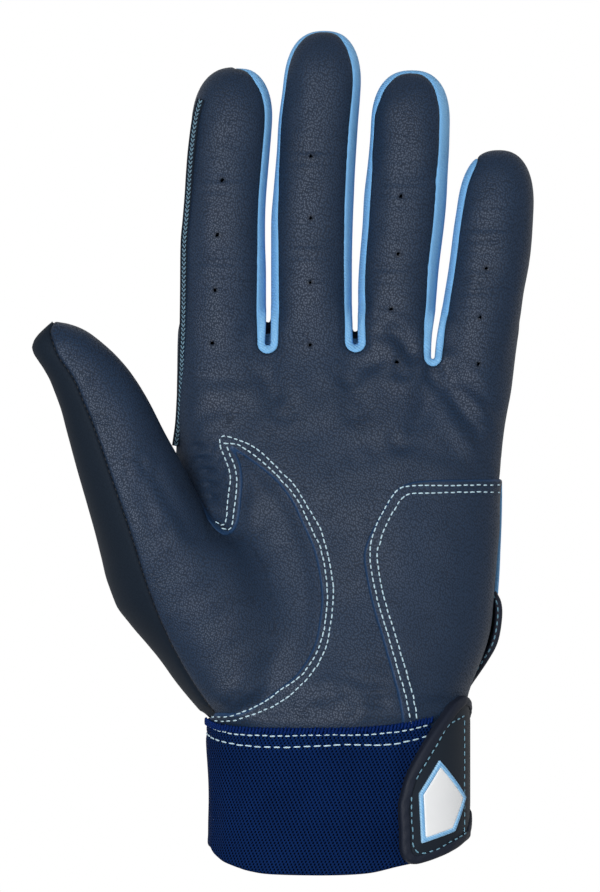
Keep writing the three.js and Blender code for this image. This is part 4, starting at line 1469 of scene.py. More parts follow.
class Leathers:
    """Cuts the filled hand's skin into the glove's leather panels."""

    def __init__(self, hand: Hand, shop: Workshop) -> None:
        """Prepares the outlines.

        Args:
            hand: the filled hand.
            shop: what makes the objects.
        """
        self.hand, self.shop = hand, shop
        self.thumb_outline = np.vstack([
            curve(at(PALM_CUT), 1.0), at(THUMB_OUTSIDE), curve(at(HORN_LEFT), 1.0),
        ])
        self.heel_outline = np.vstack([curve(at(HEEL_EDGE), 1.0), at(HEEL_REST)])
        line = curve(at(THUMB_SEAM), 0.5)
        lx, ly = hand.thumb.local(line[:, 0], line[:, 1])
        self.thumb_seam = lx[::-1], ly[::-1]

    def back_seam(self, p: Array) -> Array:
        """Height above the seam of the back, which climbs beside the index finger."""
        lift = ease(p[:, 1], *CLIMB_START) * (1 - ease(p[:, 1], *CLIMB_END))
        return p[:, 2] - BACK_SEAM - SEAM_CLIMB * lift * (1 - ease(p[:, 0], *CLIMB_SIDE))

    def beside_thumb(self, p: Array) -> Array:
        """Negative on the thumb's leather: inside its outline, or on its side of the crease."""
        outline = signed_reach(self.thumb_outline, p[:, :2])
        thumb = self.hand.thumb.reach(p[:, 0], p[:, 1], p[:, 2])
        crease = thumb - self.hand.palm.reach(p[:, 0], p[:, 1], p[:, 2])
        share = ease(-p[:, 0], *-across(CREASE_COLUMNS))
        share = share * (1 - ease(-p[:, 1], *-along(CREASE_ROWS)))
        return outline + (np.clip(crease, -6, 6) - outline) * share

    def light_blue(self, p: Array) -> Array:
        """Negative on the light-blue sides of the fingers and the crotches between them."""
        x, y = p[:, 0], p[:, 1]
        best = np.full(len(p), 9.0)
        for i, row in enumerate(GAP_CENTRES):
            low = float(along(row))
            gap, middle = self.hand.gap(i, x, y)
            left = FINGERS[i].band(np.maximum(y, low), Side.RIGHT)
            right = FINGERS[i + 1].band(np.maximum(y, low), Side.LEFT)
            share = ease(x - middle, -1.0, 1.0)
            crotch = gap - left - (right - left) * share
            near = (y >= low) & (np.abs(x - middle) < BAND_ROOM)
            xy = p[near, :2]
            sides = np.minimum(
                reach_to(FINGERS[i].outline(Side.RIGHT, low), xy) - left[near],
                reach_to(FINGERS[i + 1].outline(Side.LEFT, low), xy) - right[near],
            )
            best[near] = np.minimum(best[near], sides)
            best = np.where(y < low, np.minimum(best, crotch), best)
        return best

    def heel(self, p: Array) -> Array:
        """Negative on the heel patch."""
        return np.maximum(signed_reach(self.heel_outline, p[:, :2]), HEEL_FLOOR - p[:, 2])

    def root(self, p: Array) -> Array:
        """Positive on the fingers: how far a point is above their root line."""
        line = self.hand.root_line
        return p[:, 1] - np.interp(p[:, 0], line[:, 0], line[:, 1])

    def middle_of(self, index: int) -> Measure:
        """How far right of a gap's middle line a point is."""
        return lambda p: p[:, 0] - self.hand.gap(index, p[:, 0], p[:, 1])[1]

    def thumb_frame(self, p: Array) -> tuple[Array, Array]:
        """A point across and along the thumb."""
        return self.hand.thumb.local(p[:, 0], p[:, 1])

    def side_seam(self, p: Array) -> Array:
        """Negative on the thumb's side panel, positive on its front."""
        lx, ly = self.thumb_frame(p)
        return lx - np.interp(ly, self.thumb_seam[1], self.thumb_seam[0])

    def thumb_back(self, p: Array) -> Array:
        """Negative on the thumb's back panel."""
        _, ly = self.thumb_frame(p)
        seam = np.array(THUMB_BACK)
        return p[:, 2] - np.interp(ly, seam[:, 0], seam[:, 1])

    def make(self) -> None:
        """Cuts, shapes and finishes every panel of the hand."""
        back, front = Panel(self.hand.skin()).sewn(self.back_seam)
        under = Edge(self.beside_thumb, SEAM_DROP, THENAR_DIP, True)
        raw = Edge(self.beside_thumb, cut=True)
        thumb, rest = front.sewn(self.beside_thumb, under, raw)
        blue, hide = rest.sewn(self.light_blue, Edge(self.light_blue, 0.45, 0.6))
        heel, palm = hide.sewn(
            self.heel, Edge(self.heel, HEEL_HEIGHT, 0.7, cut=True), Edge(self.heel, 0.0, 1.0, True)
        )
        heel.level = HEEL_HEIGHT
        self.piece("heel_patch", heel, PALM_LEATHER, "hand")
        self.fingers(palm, "palm_leather", "front")
        self.fingers(back, "back_leather", "back")
        self.crotches(blue)
        self.thumbs(thumb)

    def piece(self, node: str, panel: Panel, finish: Leather, body: str = "") -> bpy.types.Object:
        """One finished panel that stands for a CAD node; without a body, it rides on none."""
        made = self.shop.panel(f"{node}_skin", panel.shaped(self.hand), finish)
        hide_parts(node)
        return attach(made, body) if body else made

    def fingers(self, panel: Panel, palm: str, kind: str) -> None:
        """Parts a panel that the palm and all the fingers share at the fingers' roots."""
        rest, above = panel.parted(self.root)
        self.piece(palm, self.punched(rest) if kind == "front" else rest, PALM_LEATHER, "hand")
        for i, finger in enumerate(FINGERS):
            own = above
            if i < len(GAP_CENTRES):
                own, above = above.parted(self.middle_of(i))
            own = self.punched(own) if kind == "front" else own
            bend_finger(self.piece(f"{finger.name}_{kind}", own, PALM_LEATHER), i)

    def crotches(self, panel: Panel) -> None:
        """The light-blue sides of the fingers and the crotches that join them."""
        below, above = panel.parted(self.root)
        for i in range(len(GAP_CENTRES)):
            left, right = FINGERS[i], FINGERS[i + 1]
            own, sides = below, above
            if i < len(GAP_CENTRES) - 1:
                centre = float(right.middle(np.array([CROTCH_SPLIT]))[0])
                own, below = below.parted(lambda p, c=centre: p[:, 0] - c)
                sides, above = above.parted(lambda p, f=right: p[:, 0] - f.middle(p[:, 1]))
            self.piece(f"{left.name}_{right.name}_crotch", own, SKY_LEATHER, "hand")
            one, other = sides.parted(self.middle_of(i))
            bend_finger(self.piece(f"{left.name}_right_side", one, SKY_LEATHER), i)
            bend_finger(self.piece(f"{right.name}_left_side", other, SKY_LEATHER), i + 1)

    def thumbs(self, panel: Panel) -> None:
        """The thumb's front, side and back, each in a base piece and an end piece."""
        back, rest = panel.sewn(self.thumb_back)
        side, front = rest.sewn(
            self.side_seam, Edge(self.side_seam, 0.75, 1.3), Edge(self.side_seam, 0.75, 1.1)
        )
        for whole, base, end, finish in (
            (front, "thumb_palm_leather", "thumb_front", PALM_LEATHER),
            (side, "thumb_base_side", "thumb_side", SIDE_LEATHER),
            (back, "thumb_base_back", "thumb_back", PALM_LEATHER),
        ):
            low, high = whole.parted(lambda p: self.thumb_frame(p)[1])
            self.piece(base, low, finish, "hand")
            bend_thumb(self.piece(end, high, finish))

    def punched(self, panel: Panel) -> Panel:
        """Cuts the round air holes out of a panel."""
        for x, y in at(HOLES):
            def reach(p: Array, x: float = x, y: float = y) -> Array:
                """The distance outside one hole, on the palm side only."""
                away = np.hypot(p[:, 0] - x, p[:, 1] - y) - HOLE_RADIUS
                return np.maximum(away, HOLE_FLOOR - p[:, 2])
            if (reach(panel.skin.points) < 2).any():
                _, kept = panel.skin.split(reach, 0.35).parted(reach)
                panel = Panel(kept, (*panel.edges, Edge(reach, 0.16, 0.45)), panel.level)
        return panel


def bend_finger(made: bpy.types.Object, index: int) -> None:
    """Bakes the placement of a piece on a finger into its mesh, and works out the finger's middle.
    """
    finger = FINGERS[index]
    low, high = float(along(finger.root)), 60.0
    middle = finger.middle(np.array([low, high]))
    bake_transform(made)


def bend_thumb(made: bpy.types.Object) -> None:
    """Bakes the placement of a piece on the thumb into its mesh."""
    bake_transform(made)


STITCH_SIDES, STITCH_RINGS = 8, 5


def bead(sides: int = STITCH_SIDES, rings: int = STITCH_RINGS) -> tuple[Array, Array]:
    """A rounded bar of unit half sizes along X: a superellipsoid of rings and two poles."""
    turn = np.linspace(0, 2 * math.pi, sides, endpoint=False)
    tilt = np.linspace(-math.pi / 2, math.pi / 2, rings + 2)[1:-1]
    t, s = np.meshgrid(tilt, turn, indexing="ij")
    wide = np.cos(t) ** 0.6
    x = np.sign(np.sin(t)) * np.abs(np.sin(t)) ** 0.75
    ring = np.stack([x, wide * np.cos(s), wide * np.sin(s)], -1).reshape(-1, 3)
    points = np.vstack([ring, [[-1, 0, 0]], [[1, 0, 0]]])
    faces = []
    for j in range(sides):
        k = (j + 1) % sides
        faces.append((len(ring), k, j))
        last = (rings - 1) * sides
        faces.append((len(ring) + 1, last + j, last + k))
        for i in range(rings - 1):
            a, b = i * sides + j, i * sides + k
            faces += [(a, b, b + sides), (a, b + sides, a + sides)]
    return points, np.array(faces)


def beads_along(centres: Array, runs: Array, ups: Array, sizes: Array) -> tuple[Array, Array]:
    """Many rounded bars as one mesh.

    Args:
        centres: where each lies.
        runs: the direction of each.
        ups: the outward direction of each.
        sizes: rows of half length, half width and half height.
    Returns:
        The points and triangles.
    """
    unit_points, faces = bead()
    x = unit(runs)
    y = unit(np.cross(ups, x))
    z = np.cross(x, y)
    scaled = unit_points[None] * sizes[:, None]
    points = centres[:, None]
    for i, way in enumerate((x, y, z)):
        points = points + scaled[..., i:i + 1] * way[:, None]
    offset = (np.arange(len(centres)) * len(unit_points))[:, None, None]
    return points.reshape(-1, 3), (faces[None] + offset).reshape(-1, 3)


def laid(line: Array, pitch: float) -> tuple[Array, Array]:
    """The middles of stitches laid along a line, and the way each runs."""
    fine = evenly(line, pitch / 2)
    return fine[1::2], np.gradient(fine, axis=0)[1::2]


def thread_sizes(half: Array, width: float) -> Array:
    """Rows of half length, half width and half height, for thread pressed a little flat."""
    return np.column_stack([half, np.full(len(half), width), np.full(len(half), width * 0.8)])


def swept(path: Array, sides: Array, ups: Array, section: Array) -> tuple[Array, Array]:
    """A closed bar along a path.

    Args:
        path: the points of its line.
        sides: the direction of the section's first coordinate at each point.
        ups: the direction of its second coordinate.
        section: rows of two coordinates, counter-clockwise seen along the path.
    Returns:
        The points and triangles.
    """
    count, m = len(path), len(section)
    points = path[:, None] + sides[:, None] * section[None, :, :1]
    points = points + ups[:, None] * section[None, :, 1:]
    ends = np.array([path[0], path[-1]])
    rows = np.arange(count - 1)[:, None] * m
    j = np.arange(m)[None]
    k = (j + 1) % m
    a, b, c, d = rows + j, rows + k, rows + m + k, rows + m + j
    walls = np.concatenate([
        np.stack([a, b, c], -1).reshape(-1, 3), np.stack([a, c, d], -1).reshape(-1, 3),
    ])
    j, k = np.arange(m), (np.arange(m) + 1) % m
    first = np.stack([np.full(m, count * m), k, j], 1)
    last = np.stack([np.full(m, count * m + 1), (count - 1) * m + j, (count - 1) * m + k], 1)
    faces = np.concatenate([walls, first, last])
    flat = np.vstack([points.reshape(-1, 3), ends])
    a, b, c = (flat[faces[:, i]] for i in range(3))
    if (np.einsum("ij,ij->i", a, np.cross(b, c))).sum() < 0:
        faces = faces[:, ::-1]
    return flat, faces


def rounded(width: float, height: float, power: float = 3.0, count: int = 14) -> Array:
    """A superellipse section of a full width and height."""
    t = np.linspace(0, 2 * math.pi, count, endpoint=False)
    c, s = np.cos(t), np.sin(t)
    return np.column_stack([
        np.sign(c) * np.abs(c) ** (2 / power) * width / 2,
        np.sign(s) * np.abs(s) ** (2 / power) * height / 2,
    ])


class Sleeve:
    """The wrist's tube: a superellipse in plan, with places given by arc length round it.

    The arc length starts at the right silhouette and runs over the palm side to the left.
    """

    def __init__(self) -> None:
        """Tabulates the curve: x = a cos^(2/n), z = b sin^(2/n), with its outward normals."""
        t = np.linspace(-math.pi, 3 * math.pi, 8001)
        c, s = np.cos(t), np.sin(t)
        a, b = WRIST_HALF
        n = WRIST_POWER
        x = np.sign(c) * np.abs(c) ** (2 / n) * a
        z = np.sign(s) * np.abs(s) ** (2 / n) * b
        nx = np.sign(x) * np.abs(x / a) ** (n - 1) / a
        nz = np.sign(z) * np.abs(z / b) ** (n - 1) / b
        size = np.hypot(nx, nz)
        run = np.concatenate([[0], np.cumsum(np.hypot(np.diff(x), np.diff(z)))])
        run -= np.interp(0.0, t, run)
        self.run = run
        cx, cz = WRIST_CENTRE
        self.rows = np.column_stack([x + cx, z + cz, nx / size, nz / size])
        self.length = float(run[-1] - run[0]) / 2

    def spot(self, u: Array) -> Array:
        """Rows of x, z and the normal's x and z at places round the tube."""
        return np.stack([np.interp(u, self.run, self.rows[:, i]) for i in range(4)], -1)

    def over(self, x: Any, lift: float = 0.0) -> Array:
        """The place on the palm side whose surface, lifted, has a given X."""
        u = np.linspace(0, self.length / 2, 1200)
        rows = self.spot(u)
        return np.interp(-np.asarray(x, float), -(rows[:, 0] + rows[:, 2] * lift), u)

    def at_height(self, z: float, upper: bool) -> float:
        """The place on the right-hand side at a height."""
        u = np.linspace(0, self.length / 5, 800) * (1 if upper else -1)
        rows = self.spot(u)
        order = np.argsort(rows[:, 1])
        return float(np.interp(z, rows[order, 1], u[order]))

    def wrap(self, points: Array) -> Array:
        """Flat pattern points (u, y, height) put round the wrist."""
        rows = self.spot(points[:, 0])
        x = rows[:, 0] + rows[:, 2] * points[:, 2]
        drawn = TAPER * ease(-points[:, 1], *TAPER_SPAN) * np.minimum(x - WRIST_CENTRE[0], 0)
        return np.column_stack([x - drawn, points[:, 1], rows[:, 1] + rows[:, 3] * points[:, 2]])


def flat(points: Array) -> tuple[Array, Array]:
    """A flat pattern's points stay where they are, and face up."""
    return points.copy(), np.tile(UP, (len(points), 1))


def flat_grid(low: tuple[float, float], high: tuple[float, float], step: float) -> Skin:
    """A flat rectangle of triangles in (u, y)."""
    u = np.linspace(low[0], high[0], int((high[0] - low[0]) / step) + 2)
    v = np.linspace(low[1], high[1], int((high[1] - low[1]) / step) + 2)
    uu, vv = np.meshgrid(u, v, indexing="ij")
    points = np.column_stack([uu.ravel(), vv.ravel(), np.zeros(uu.size)])
    return Skin(points, grid_faces(len(u), len(v)), flat)


CUFF_FOOT = (
    (196, 844), (204, 845.5), (206.5, 847.5), (208.6, 851), (211.4, 855), (216.8, 859.5),
    (224.4, 863.2),
    (234, 866.8), (247.4, 870.4), (266.5, 873.1), (304.8, 874.2), (343, 873.9), (371.8, 871.7),
    (396.6, 866), (415, 862), (430, 857), (460, 846), (475, 842),
)
CUFF_ROW_1 = (
    (204.3, 721.6), (209.1, 726.3), (220.6, 730.6), (241, 734), (282, 735.5), (323, 734),
    (364, 734),
    (404, 730), (437, 722),
)
CUFF_ROW_2 = (
    (204.3, 731.1), (211, 737), (228.3, 742.6), (262, 746), (302, 746), (343, 744), (384, 744),
    (411, 740), (429, 735),
)
# The cuff's stitch rows: where each lies, the pitch of its stitches and their length.
CUFF_ROWS = ((CUFF_ROW_1, 2.15, 1.5), (CUFF_ROW_2, 2.75, 2.0))
STRAP_TAB = (
    (465, 695), (455, 703), (444, 717), (428.5, 738.5), (410, 770), (403, 791), (400, 805),
    (401, 829),
    (402, 851), (408, 860), (416, 863), (434.5, 858), (453, 850), (465, 841.5), (470, 835),
)
STRAP_STITCH = (
    (464, 715), (448, 724), (438, 741), (426, 761), (413, 783), (411, 793), (411, 818), (412, 834),
    (413, 844), (419, 852), (434.5, 849), (453, 839), (464, 833),
)
PATCH_OUTLINE = ((438.4, 759.3), (418.2, 792.8), (420.6, 842.4), (453.3, 830.6), (463.9, 796.7))
# Heights above the wrist's tube, in millimetres.
STRAP_LIFT = 3.5
FACE_LIFT, BINDING_LIFT, PLATE_LIFT, BORDER_LIFT = -0.12, 0.55, 0.75, 0.85  # above the strap
KNIT_WALL = 1.7
STITCH_DENT = 0.28  # how deep a stitch row sinks into the knit
BINDING_BAND = 2.35
BORDER = 1.1  # how wide the patch's light-blue border is
STRAP_ROOT_HEIGHT = 10.0
GAP_TOP_HEIGHT = 36.0
BASE_FOOT, BASE_HEAD = -98.1, -73.7  # the Y of the strap's sewn part
BASE_END_X = 1.6  # the X at which that part ends on the wrist's back
PILE_COLUMNS, PILE_FOOT, LOOP_HEAD, HOOK_HEAD = (42.0, 36.8), -102.7, -81.2, -79.1
STRAP_PITCH, STRAP_STITCH_LENGTH = 2.05, 1.35
STRAP_SIDE = (464, (719, 829))  # the pixel column and rows of the row beside the patch


class Wrist:
    """The elastic cuff with its closure: band, overlocked edge, strap, number patch and pile."""

    def __init__(self, shop: Workshop) -> None:
        """Works out the places round the wrist.

        Args:
            shop: what makes the objects.
        """
        self.shop, self.sleeve = shop, Sleeve()
        self.cut_size, self.cut_area = np.zeros(2), 0.0
        self.root_u = self.sleeve.at_height(STRAP_ROOT_HEIGHT, False)
        self.gap_u = self.sleeve.at_height(GAP_TOP_HEIGHT, True)
        self.end_u = self.sleeve.length + self.root_u

    def row_at(self, table: Any, u: Array) -> Array:
        """The Y of a traced edge round the wrist: the palm side's, and the same behind."""
        line = curve(at(table), 0.5)
        return np.interp(self.sleeve.spot(u)[:, 0], line[:, 0], line[:, 1])

    def strap_places(self, pixels: Any) -> Array:
        """Pixels of the palm view as places (u, y) on the strap."""
        xy = at(pixels)
        return np.column_stack([self.sleeve.over(xy[:, 0], STRAP_LIFT), xy[:, 1]])

    def wrapped(self, name: str, skin: Skin, wall: float, finish: Finish, node: str,
                body: str) -> bpy.types.Object:
        """A flat pattern piece, made solid and put round the wrist, that stands for a CAD node."""
        skin = skin.tidy()
        points, faces, marks, sharp = skin.closed(skin.points - wall * UP)
        marks["u"], marks["v"] = points[:, 0], points[:, 1]
        made = self.shop.mesh(name, self.sleeve.wrap(points), faces[:, ::-1], finish, marks, sharp)
        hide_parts(node)
        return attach(made, body)

    def cut(self, skin: Skin, measure: Measure, drop: float, width: float, level: float) -> Skin:
        """Keeps a pattern's part below a measure's zero, with a rounded edge at a level."""
        inside, _ = skin.parted(measure)
        inside = inside.ringed(lambda p: -measure(p), (0.08, 0.25, 0.5, 0.9, 1.5))
        near = -measure(inside.points)
        made = inside.raised(level + dipped(near, drop, width))
        made.marks = {"edge": np.clip(near, 0, MARK_REACH)}
        return made

    def band(self) -> bpy.types.Object:
        """The knitted cuff: slightly waved, with round ends and a dip under each stitch row."""
        start, end = self.gap_u, self.end_u
        grid = flat_grid((start, -118.0), (end, -68.0), 0.75)

        def outside(p: Array) -> Array:
            """Negative on the band."""
            top, foot = self.row_at(CUFF_TOP, p[:, 0]), self.row_at(CUFF_FOOT, p[:, 0])
            ends = np.maximum(start + 0.01 - p[:, 0], p[:, 0] - end + 0.01)
            return np.maximum(np.maximum(p[:, 1] - top, foot - p[:, 1]), ends)

        made = self.cut(grid, outside, 0.8, 1.1, 0.0)
        u, y, _ = made.points.T
        top, foot = self.row_at(CUFF_TOP, u), self.row_at(CUFF_FOOT, u)
        dents = [np.exp(-(((y - self.row_at(row, u)) / 0.7) ** 2)) for row, _, _ in CUFF_ROWS]
        roll = np.exp(-(((y - foot - 1.6) / 1.3) ** 2))
        wave = 0.18 * np.sin(u * 0.33) * np.sin(y * 0.21 + 1.2) + 0.1 * np.sin(u * 0.9 + 2)
        dent = STITCH_DENT * (dents[0] + dents[1])
        made = made.raised(0.15 * roll - dent + wave * ease(top - y, 1, 8) - 0.1)
        a, b, c = (made.points[made.faces[:, i], :2] for i in range(3))
        self.cut_area = float(np.abs(np.cross(b - a, c - a)).sum() / 2)
        self.cut_size = np.ptp(made.points[:, :2], axis=0)
        return self.wrapped("cuff_band_knit", made, KNIT_WALL, KNIT, "cuff_band", "hand")

    def overlock(self) -> bpy.types.Object:
        """The close ribs of thread that bind the cuff's top."""
        places = np.arange(self.gap_u + 0.6, self.end_u - 0.5, 1.0)
        wobble = np.random.default_rng(RIB_SEED).normal(0, 1, (2, len(places)))
        y = self.row_at(CUFF_TOP, places) - 0.85 + 0.05 * wobble[0]
        centre = lifted(np.column_stack([places, y]), 0.12)
        points = self.sleeve.wrap(centre)
        ahead = self.sleeve.wrap(centre + np.array([-0.3, 1.0, 0.0])) - points
        sizes = thread_sizes(1.05 + 0.06 * wobble[1], 0.4)
        sizes[:, 2] = 0.34
        outward = self.sleeve.wrap(centre + UP) - points
        made = self.shop.threads("cuff_overlock", points, ahead, outward, sizes, NAVY_THREAD)
        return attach(made, "hand")

    def dashes(self, name: str, line: Array, pitch: float, length: float, lift: float,
               finish: Thread, body: str, width: float) -> bpy.types.Object:
        """A row of stitches along a line of places (u, y) round the wrist.

        Args:
            name: the piece's name.
            line: rows of (u, y).
            pitch: the distance from one stitch to the next.
            length: the length of a stitch.
            lift: how far above the tube they lie.
            finish: their thread.
            body: the body that they ride on.
            width: their half width.
        Returns:
            The object.
        """
        middles, ahead = laid(line, pitch)
        wobble = np.random.default_rng(len(name)).normal(0, 1, (3, len(middles)))
        centre = lifted(middles + 0.05 * wobble[:2].T, lift)
        points, step = self.sleeve.wrap(centre), lifted(ahead, 0.0) * 0.5
        run = self.sleeve.wrap(centre + step) - self.sleeve.wrap(centre - step)
        outward = self.sleeve.wrap(centre + UP) - points
        sizes = thread_sizes(length / 2 * (1 + 0.06 * wobble[2]), width)
        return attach(self.shop.threads(name, points, run, outward, sizes, finish), body)

    def cuff_rows(self) -> list[bpy.types.Object]:
        """The two pale dashed rows round the cuff's top."""
        made = []
        u = np.linspace(self.gap_u + 1.5, self.end_u - 1.5, 400)
        for i, (table, pitch, length) in enumerate(CUFF_ROWS):
            line, name = np.column_stack([u, self.row_at(table, u)]), f"cuff_stitches_{i + 1}"
            made.append(self.dashes(name, line, pitch, length, -0.15, PALE_THREAD, "hand", 0.23))
        return made

    def strap_row(self, name: str, line: Array, lift: float, body: str, width: float) -> None:
        """A row of the strap's own stitches."""
        self.dashes(name, line, STRAP_PITCH, STRAP_STITCH_LENGTH, lift, TEAL_THREAD, body, width)

    def strap_outline(self) -> Array:
        """The strap's outline in (u, y): the traced tab, and its root on the little-finger side."""
        tab = curve(self.strap_places(STRAP_TAB), 0.8)
        root = self.root_u
        foot = np.array([[3.0, -103.6], [0.5, -101.6], [-2.5, -99.6], [-6, -98.6],
                         [root, BASE_FOOT]])
        head = np.array([[root, BASE_HEAD], [-6, -71.0], [-2, -68.6], [2, -67.0]])
        return np.vstack([tab, foot, head])

    def strap(self) -> None:
        """The strap's smooth face, its bound edge and its stitches."""
        outline = self.strap_outline()
        low, high = outline.min(0) - 0.5, outline.max(0) + 0.5
        grid = flat_grid((self.root_u, low[1]), (high[0], high[1]), 0.7)
        free = np.roll(outline, 4, axis=0)

        def outside(p: Array) -> Array:
            """Negative on the strap; its root is a straight cut."""
            return signed_reach(outline, p[:, :2])

        def bound(p: Array) -> Array:
            """Negative on the bound edge, which leaves the root free."""
            return reach_to(free, p[:, :2]) - BINDING_BAND

        whole, _ = grid.parted(outside)
        edge, face = whole.parted(bound)
        far = bound(face.points)
        made = face.raised(STRAP_LIFT + FACE_LIFT + 0.2 * ease(far, 0.0, 3.0))
        made.marks = {"edge": np.clip(far, 0, MARK_REACH) + 0.6}
        self.wrapped("closure_strap_skin", made, 1.3, STRAP_LEATHER, "closure_strap", "strap")
        edge = edge.ringed(lambda p: -outside(p), (0.1, 0.3, 0.6, 1.0, 1.5, 2.2))
        edge = edge.ringed(bound, (-0.1, -0.35, -0.7))
        rim_dip = dipped(np.maximum(-outside(edge.points), 0), 0.85, 1.3)
        inner_dip = dipped(np.maximum(-bound(edge.points), 0), 0.45, 0.6)
        ripple = 0.05 * np.sin(edge.points[:, 0] * 2.1 + edge.points[:, 1] * 1.7)
        made = edge.raised(STRAP_LIFT + BINDING_LIFT + np.minimum(rim_dip, inner_dip) + ripple)
        made.marks = {"edge": np.clip(-bound(edge.points), 0, MARK_REACH) + 1}
        self.wrapped("strap_binding_skin", made, 2.1, BINDING_LEATHER, "strap_binding", "strap")
        stitch = curve(self.strap_places(STRAP_STITCH), 0.6)
        self.strap_row("strap_stitches", stitch, STRAP_LIFT + 0.3, "strap", 0.22)
        column, rows = STRAP_SIDE
        side = np.column_stack([np.full(30, float(self.sleeve.over(across(column), STRAP_LIFT))),
                                np.linspace(*along(rows), 30)])
        self.strap_row("strap_side_stitches", side, STRAP_LIFT + 0.12, "strap", 0.2)

    def patch(self) -> None:
        """The white five-sided write-on patch and its light-blue border."""
        corners = self.strap_places(PATCH_OUTLINE)
        outline = evenly(np.vstack([corners, corners[:1]]), 0.5)[:-1]

        def outside(p: Array) -> Array:
            """Negative on the patch."""
            return signed_reach(outline, p[:, :2])

        def inside(p: Array) -> Array:
            """How far inside the patch's outline a place lies."""
            return -outside(p)

        low, high = outline.min(0) - 0.4, outline.max(0) + 0.4
        whole, _ = flat_grid(tuple(low), tuple(high), 0.6).parted(outside)
        plate, border = whole.parted(outside, -BORDER)
        plate = plate.ringed(inside, (BORDER + 0.05, BORDER + 0.2, BORDER + 0.5))
        near = inside(plate.points) - BORDER
        made = plate.raised(STRAP_LIFT + PLATE_LIFT + dipped(near, 0.25, 0.4))
        made.marks = {"edge": np.clip(near, 0, MARK_REACH)}
        self.wrapped("number_patch", made, 0.5, WHITE_PATCH, "badge_plate", "strap")
        border = border.ringed(inside, (0.1, 0.3, BORDER - 0.3, BORDER - 0.1))
        near = np.minimum(inside(border.points), BORDER - inside(border.points))
        made = border.raised(STRAP_LIFT + BORDER_LIFT + dipped(near, 0.35, 0.4))
        made.marks = {"edge": np.clip(near, 0, MARK_REACH) + 0.3}
        self.wrapped("number_patch_border", made, 0.7, SKY_LEATHER, "badge_border", "strap")

    def tile(self, name: str, node: str, low: tuple[float, float], high: tuple[float, float],
             level: float, wall: float, finish: Finish, body: str) -> None:
        """A patch with rounded edges at a level round the wrist, between two corners (u, y)."""
        radius, margin = 2, 0.5

        def outside(p: Array) -> Array:
            """Negative on the tile, whose corners are round."""
            cu, cv = (low[0] + high[0]) / 2, (low[1] + high[1]) / 2
            du = np.abs(p[:, 0] - cu) - (high[0] - low[0]) / 2 + radius
            dv = np.abs(p[:, 1] - cv) - (high[1] - low[1]) / 2 + radius
            corner = np.hypot(np.maximum(du, 0), np.maximum(dv, 0))
            return corner + np.minimum(np.maximum(du, dv), 0) - radius

        from_here, to_here = np.subtract(low, margin), np.add(high, margin)
        grid = flat_grid(tuple(from_here), tuple(to_here), 0.7)
        cut = self.cut(grid, outside, wall * 0.6, 0.7, level)
        self.wrapped(name, cut, wall, finish, node, body)

    def pile(self) -> None:
        """The loops on the cuff and the hooks under the strap's tab."""
        left, right = (float(self.sleeve.over(x)) for x in PILE_COLUMNS)
        self.tile("loop_patch_pile", "loop_patch", (left, PILE_FOOT), (right, LOOP_HEAD),
                  0.9, 0.7, LOOP_PILE, "hand")
        self.tile("hook_patch_pile", "hook_patch", (left, PILE_FOOT), (right, HOOK_HEAD),
                  1.9, 0.6, HOOK_PILE, "strap")

    def strap_base(self) -> None:
        """The strap's part that is sewn across the back of the cuff, with two rows of stitches."""
        end = self.end_u
        u = np.linspace(self.sleeve.length * 0.5, self.sleeve.length, 900)
        start = float(np.interp(BASE_END_X, self.sleeve.spot(u)[:, 0], u))
        self.tile("strap_base_skin", "strap_base", (start, BASE_FOOT), (end, BASE_HEAD),
                  1.8, 1.5, STRAP_LEATHER, "hand")
        for i, edge in enumerate((1.6, 3.4)):
            box = np.array([(end - 1, BASE_HEAD - edge), (start + edge, BASE_HEAD - edge),
                            (start + edge, BASE_FOOT + edge), (end - 1, BASE_FOOT + edge)])
            self.strap_row(f"strap_base_stitches_{i + 1}", evenly(box, 0.5), 1.85, "hand", 0.22)

    def make(self) -> None:
        """Makes everything on the wrist."""
        band = self.band()
        sewn = [self.overlock(), *self.cuff_rows()]
        self.strap()
        self.patch()
        self.pile()
        self.strap_base()


THUMB_ROWS_SEWN = {
    "thumb_row_inner": (
        (223, 443), (238, 445), (251, 453), (267, 466), (282, 481), (297, 499), (307, 518),
        (316, 538),
        (321, 549), (327, 585), (326, 614), (320, 644), (303, 673), (279.9, 690), (266.5, 699.9),
        (257, 705.3), (247.4, 709.7), (237.8, 713), (228.3, 715.4), (213.5, 716),
    ),
    "thumb_row_outer": (
        (221, 438), (224, 436), (238, 440), (252, 446), (266, 457), (283, 474), (295, 486),
        (308, 507),
        (320, 528), (328, 556), (333, 585), (332, 612), (326, 646), (313, 671), (294.3, 691),
        (285.7, 698), (276.1, 703.8), (266.5, 708.7), (253.1, 713.9), (239.7, 718.1), (228.3, 720),
        (213.5, 720),
    ),
    "horn_row_outer": (
        (220, 438), (220.6, 443.8), (221.9, 450), (226.3, 461), (229.4, 470), (230.9, 479),
        (229.6, 490), (228, 504), (226.9, 515), (225, 524), (220, 525), (214, 522),
    ),
    "horn_row_inner": (
        (226.9, 446), (231.3, 457.5), (235, 467.5), (236.6, 476.3), (236.9, 485), (235.6, 500),
        (233.8, 513.8), (231.9, 525), (229, 529.5), (224, 529),
    ),
}
HEEL_ROWS_SEWN = {
    "heel_row_outer": (
        (499, 485), (470, 485.5), (450, 486), (420, 486), (408, 486.5), (401, 488.5), (395, 493),
        (388, 503), (377, 524), (372, 538),
        (370, 551), (371, 569), (378, 603), (388, 637), (398.5, 675), (405.5, 700), (409, 721),
    ),
    "heel_row_inner": (
        (499, 492), (470, 492.5), (450, 493), (424, 493.5), (412, 494), (405, 496.5), (400, 501),
        (393, 512), (384, 530), (380, 542),
        (377, 552), (378, 568), (384, 599), (394, 633), (405, 671), (412, 698), (415.5, 718),
    ),
}
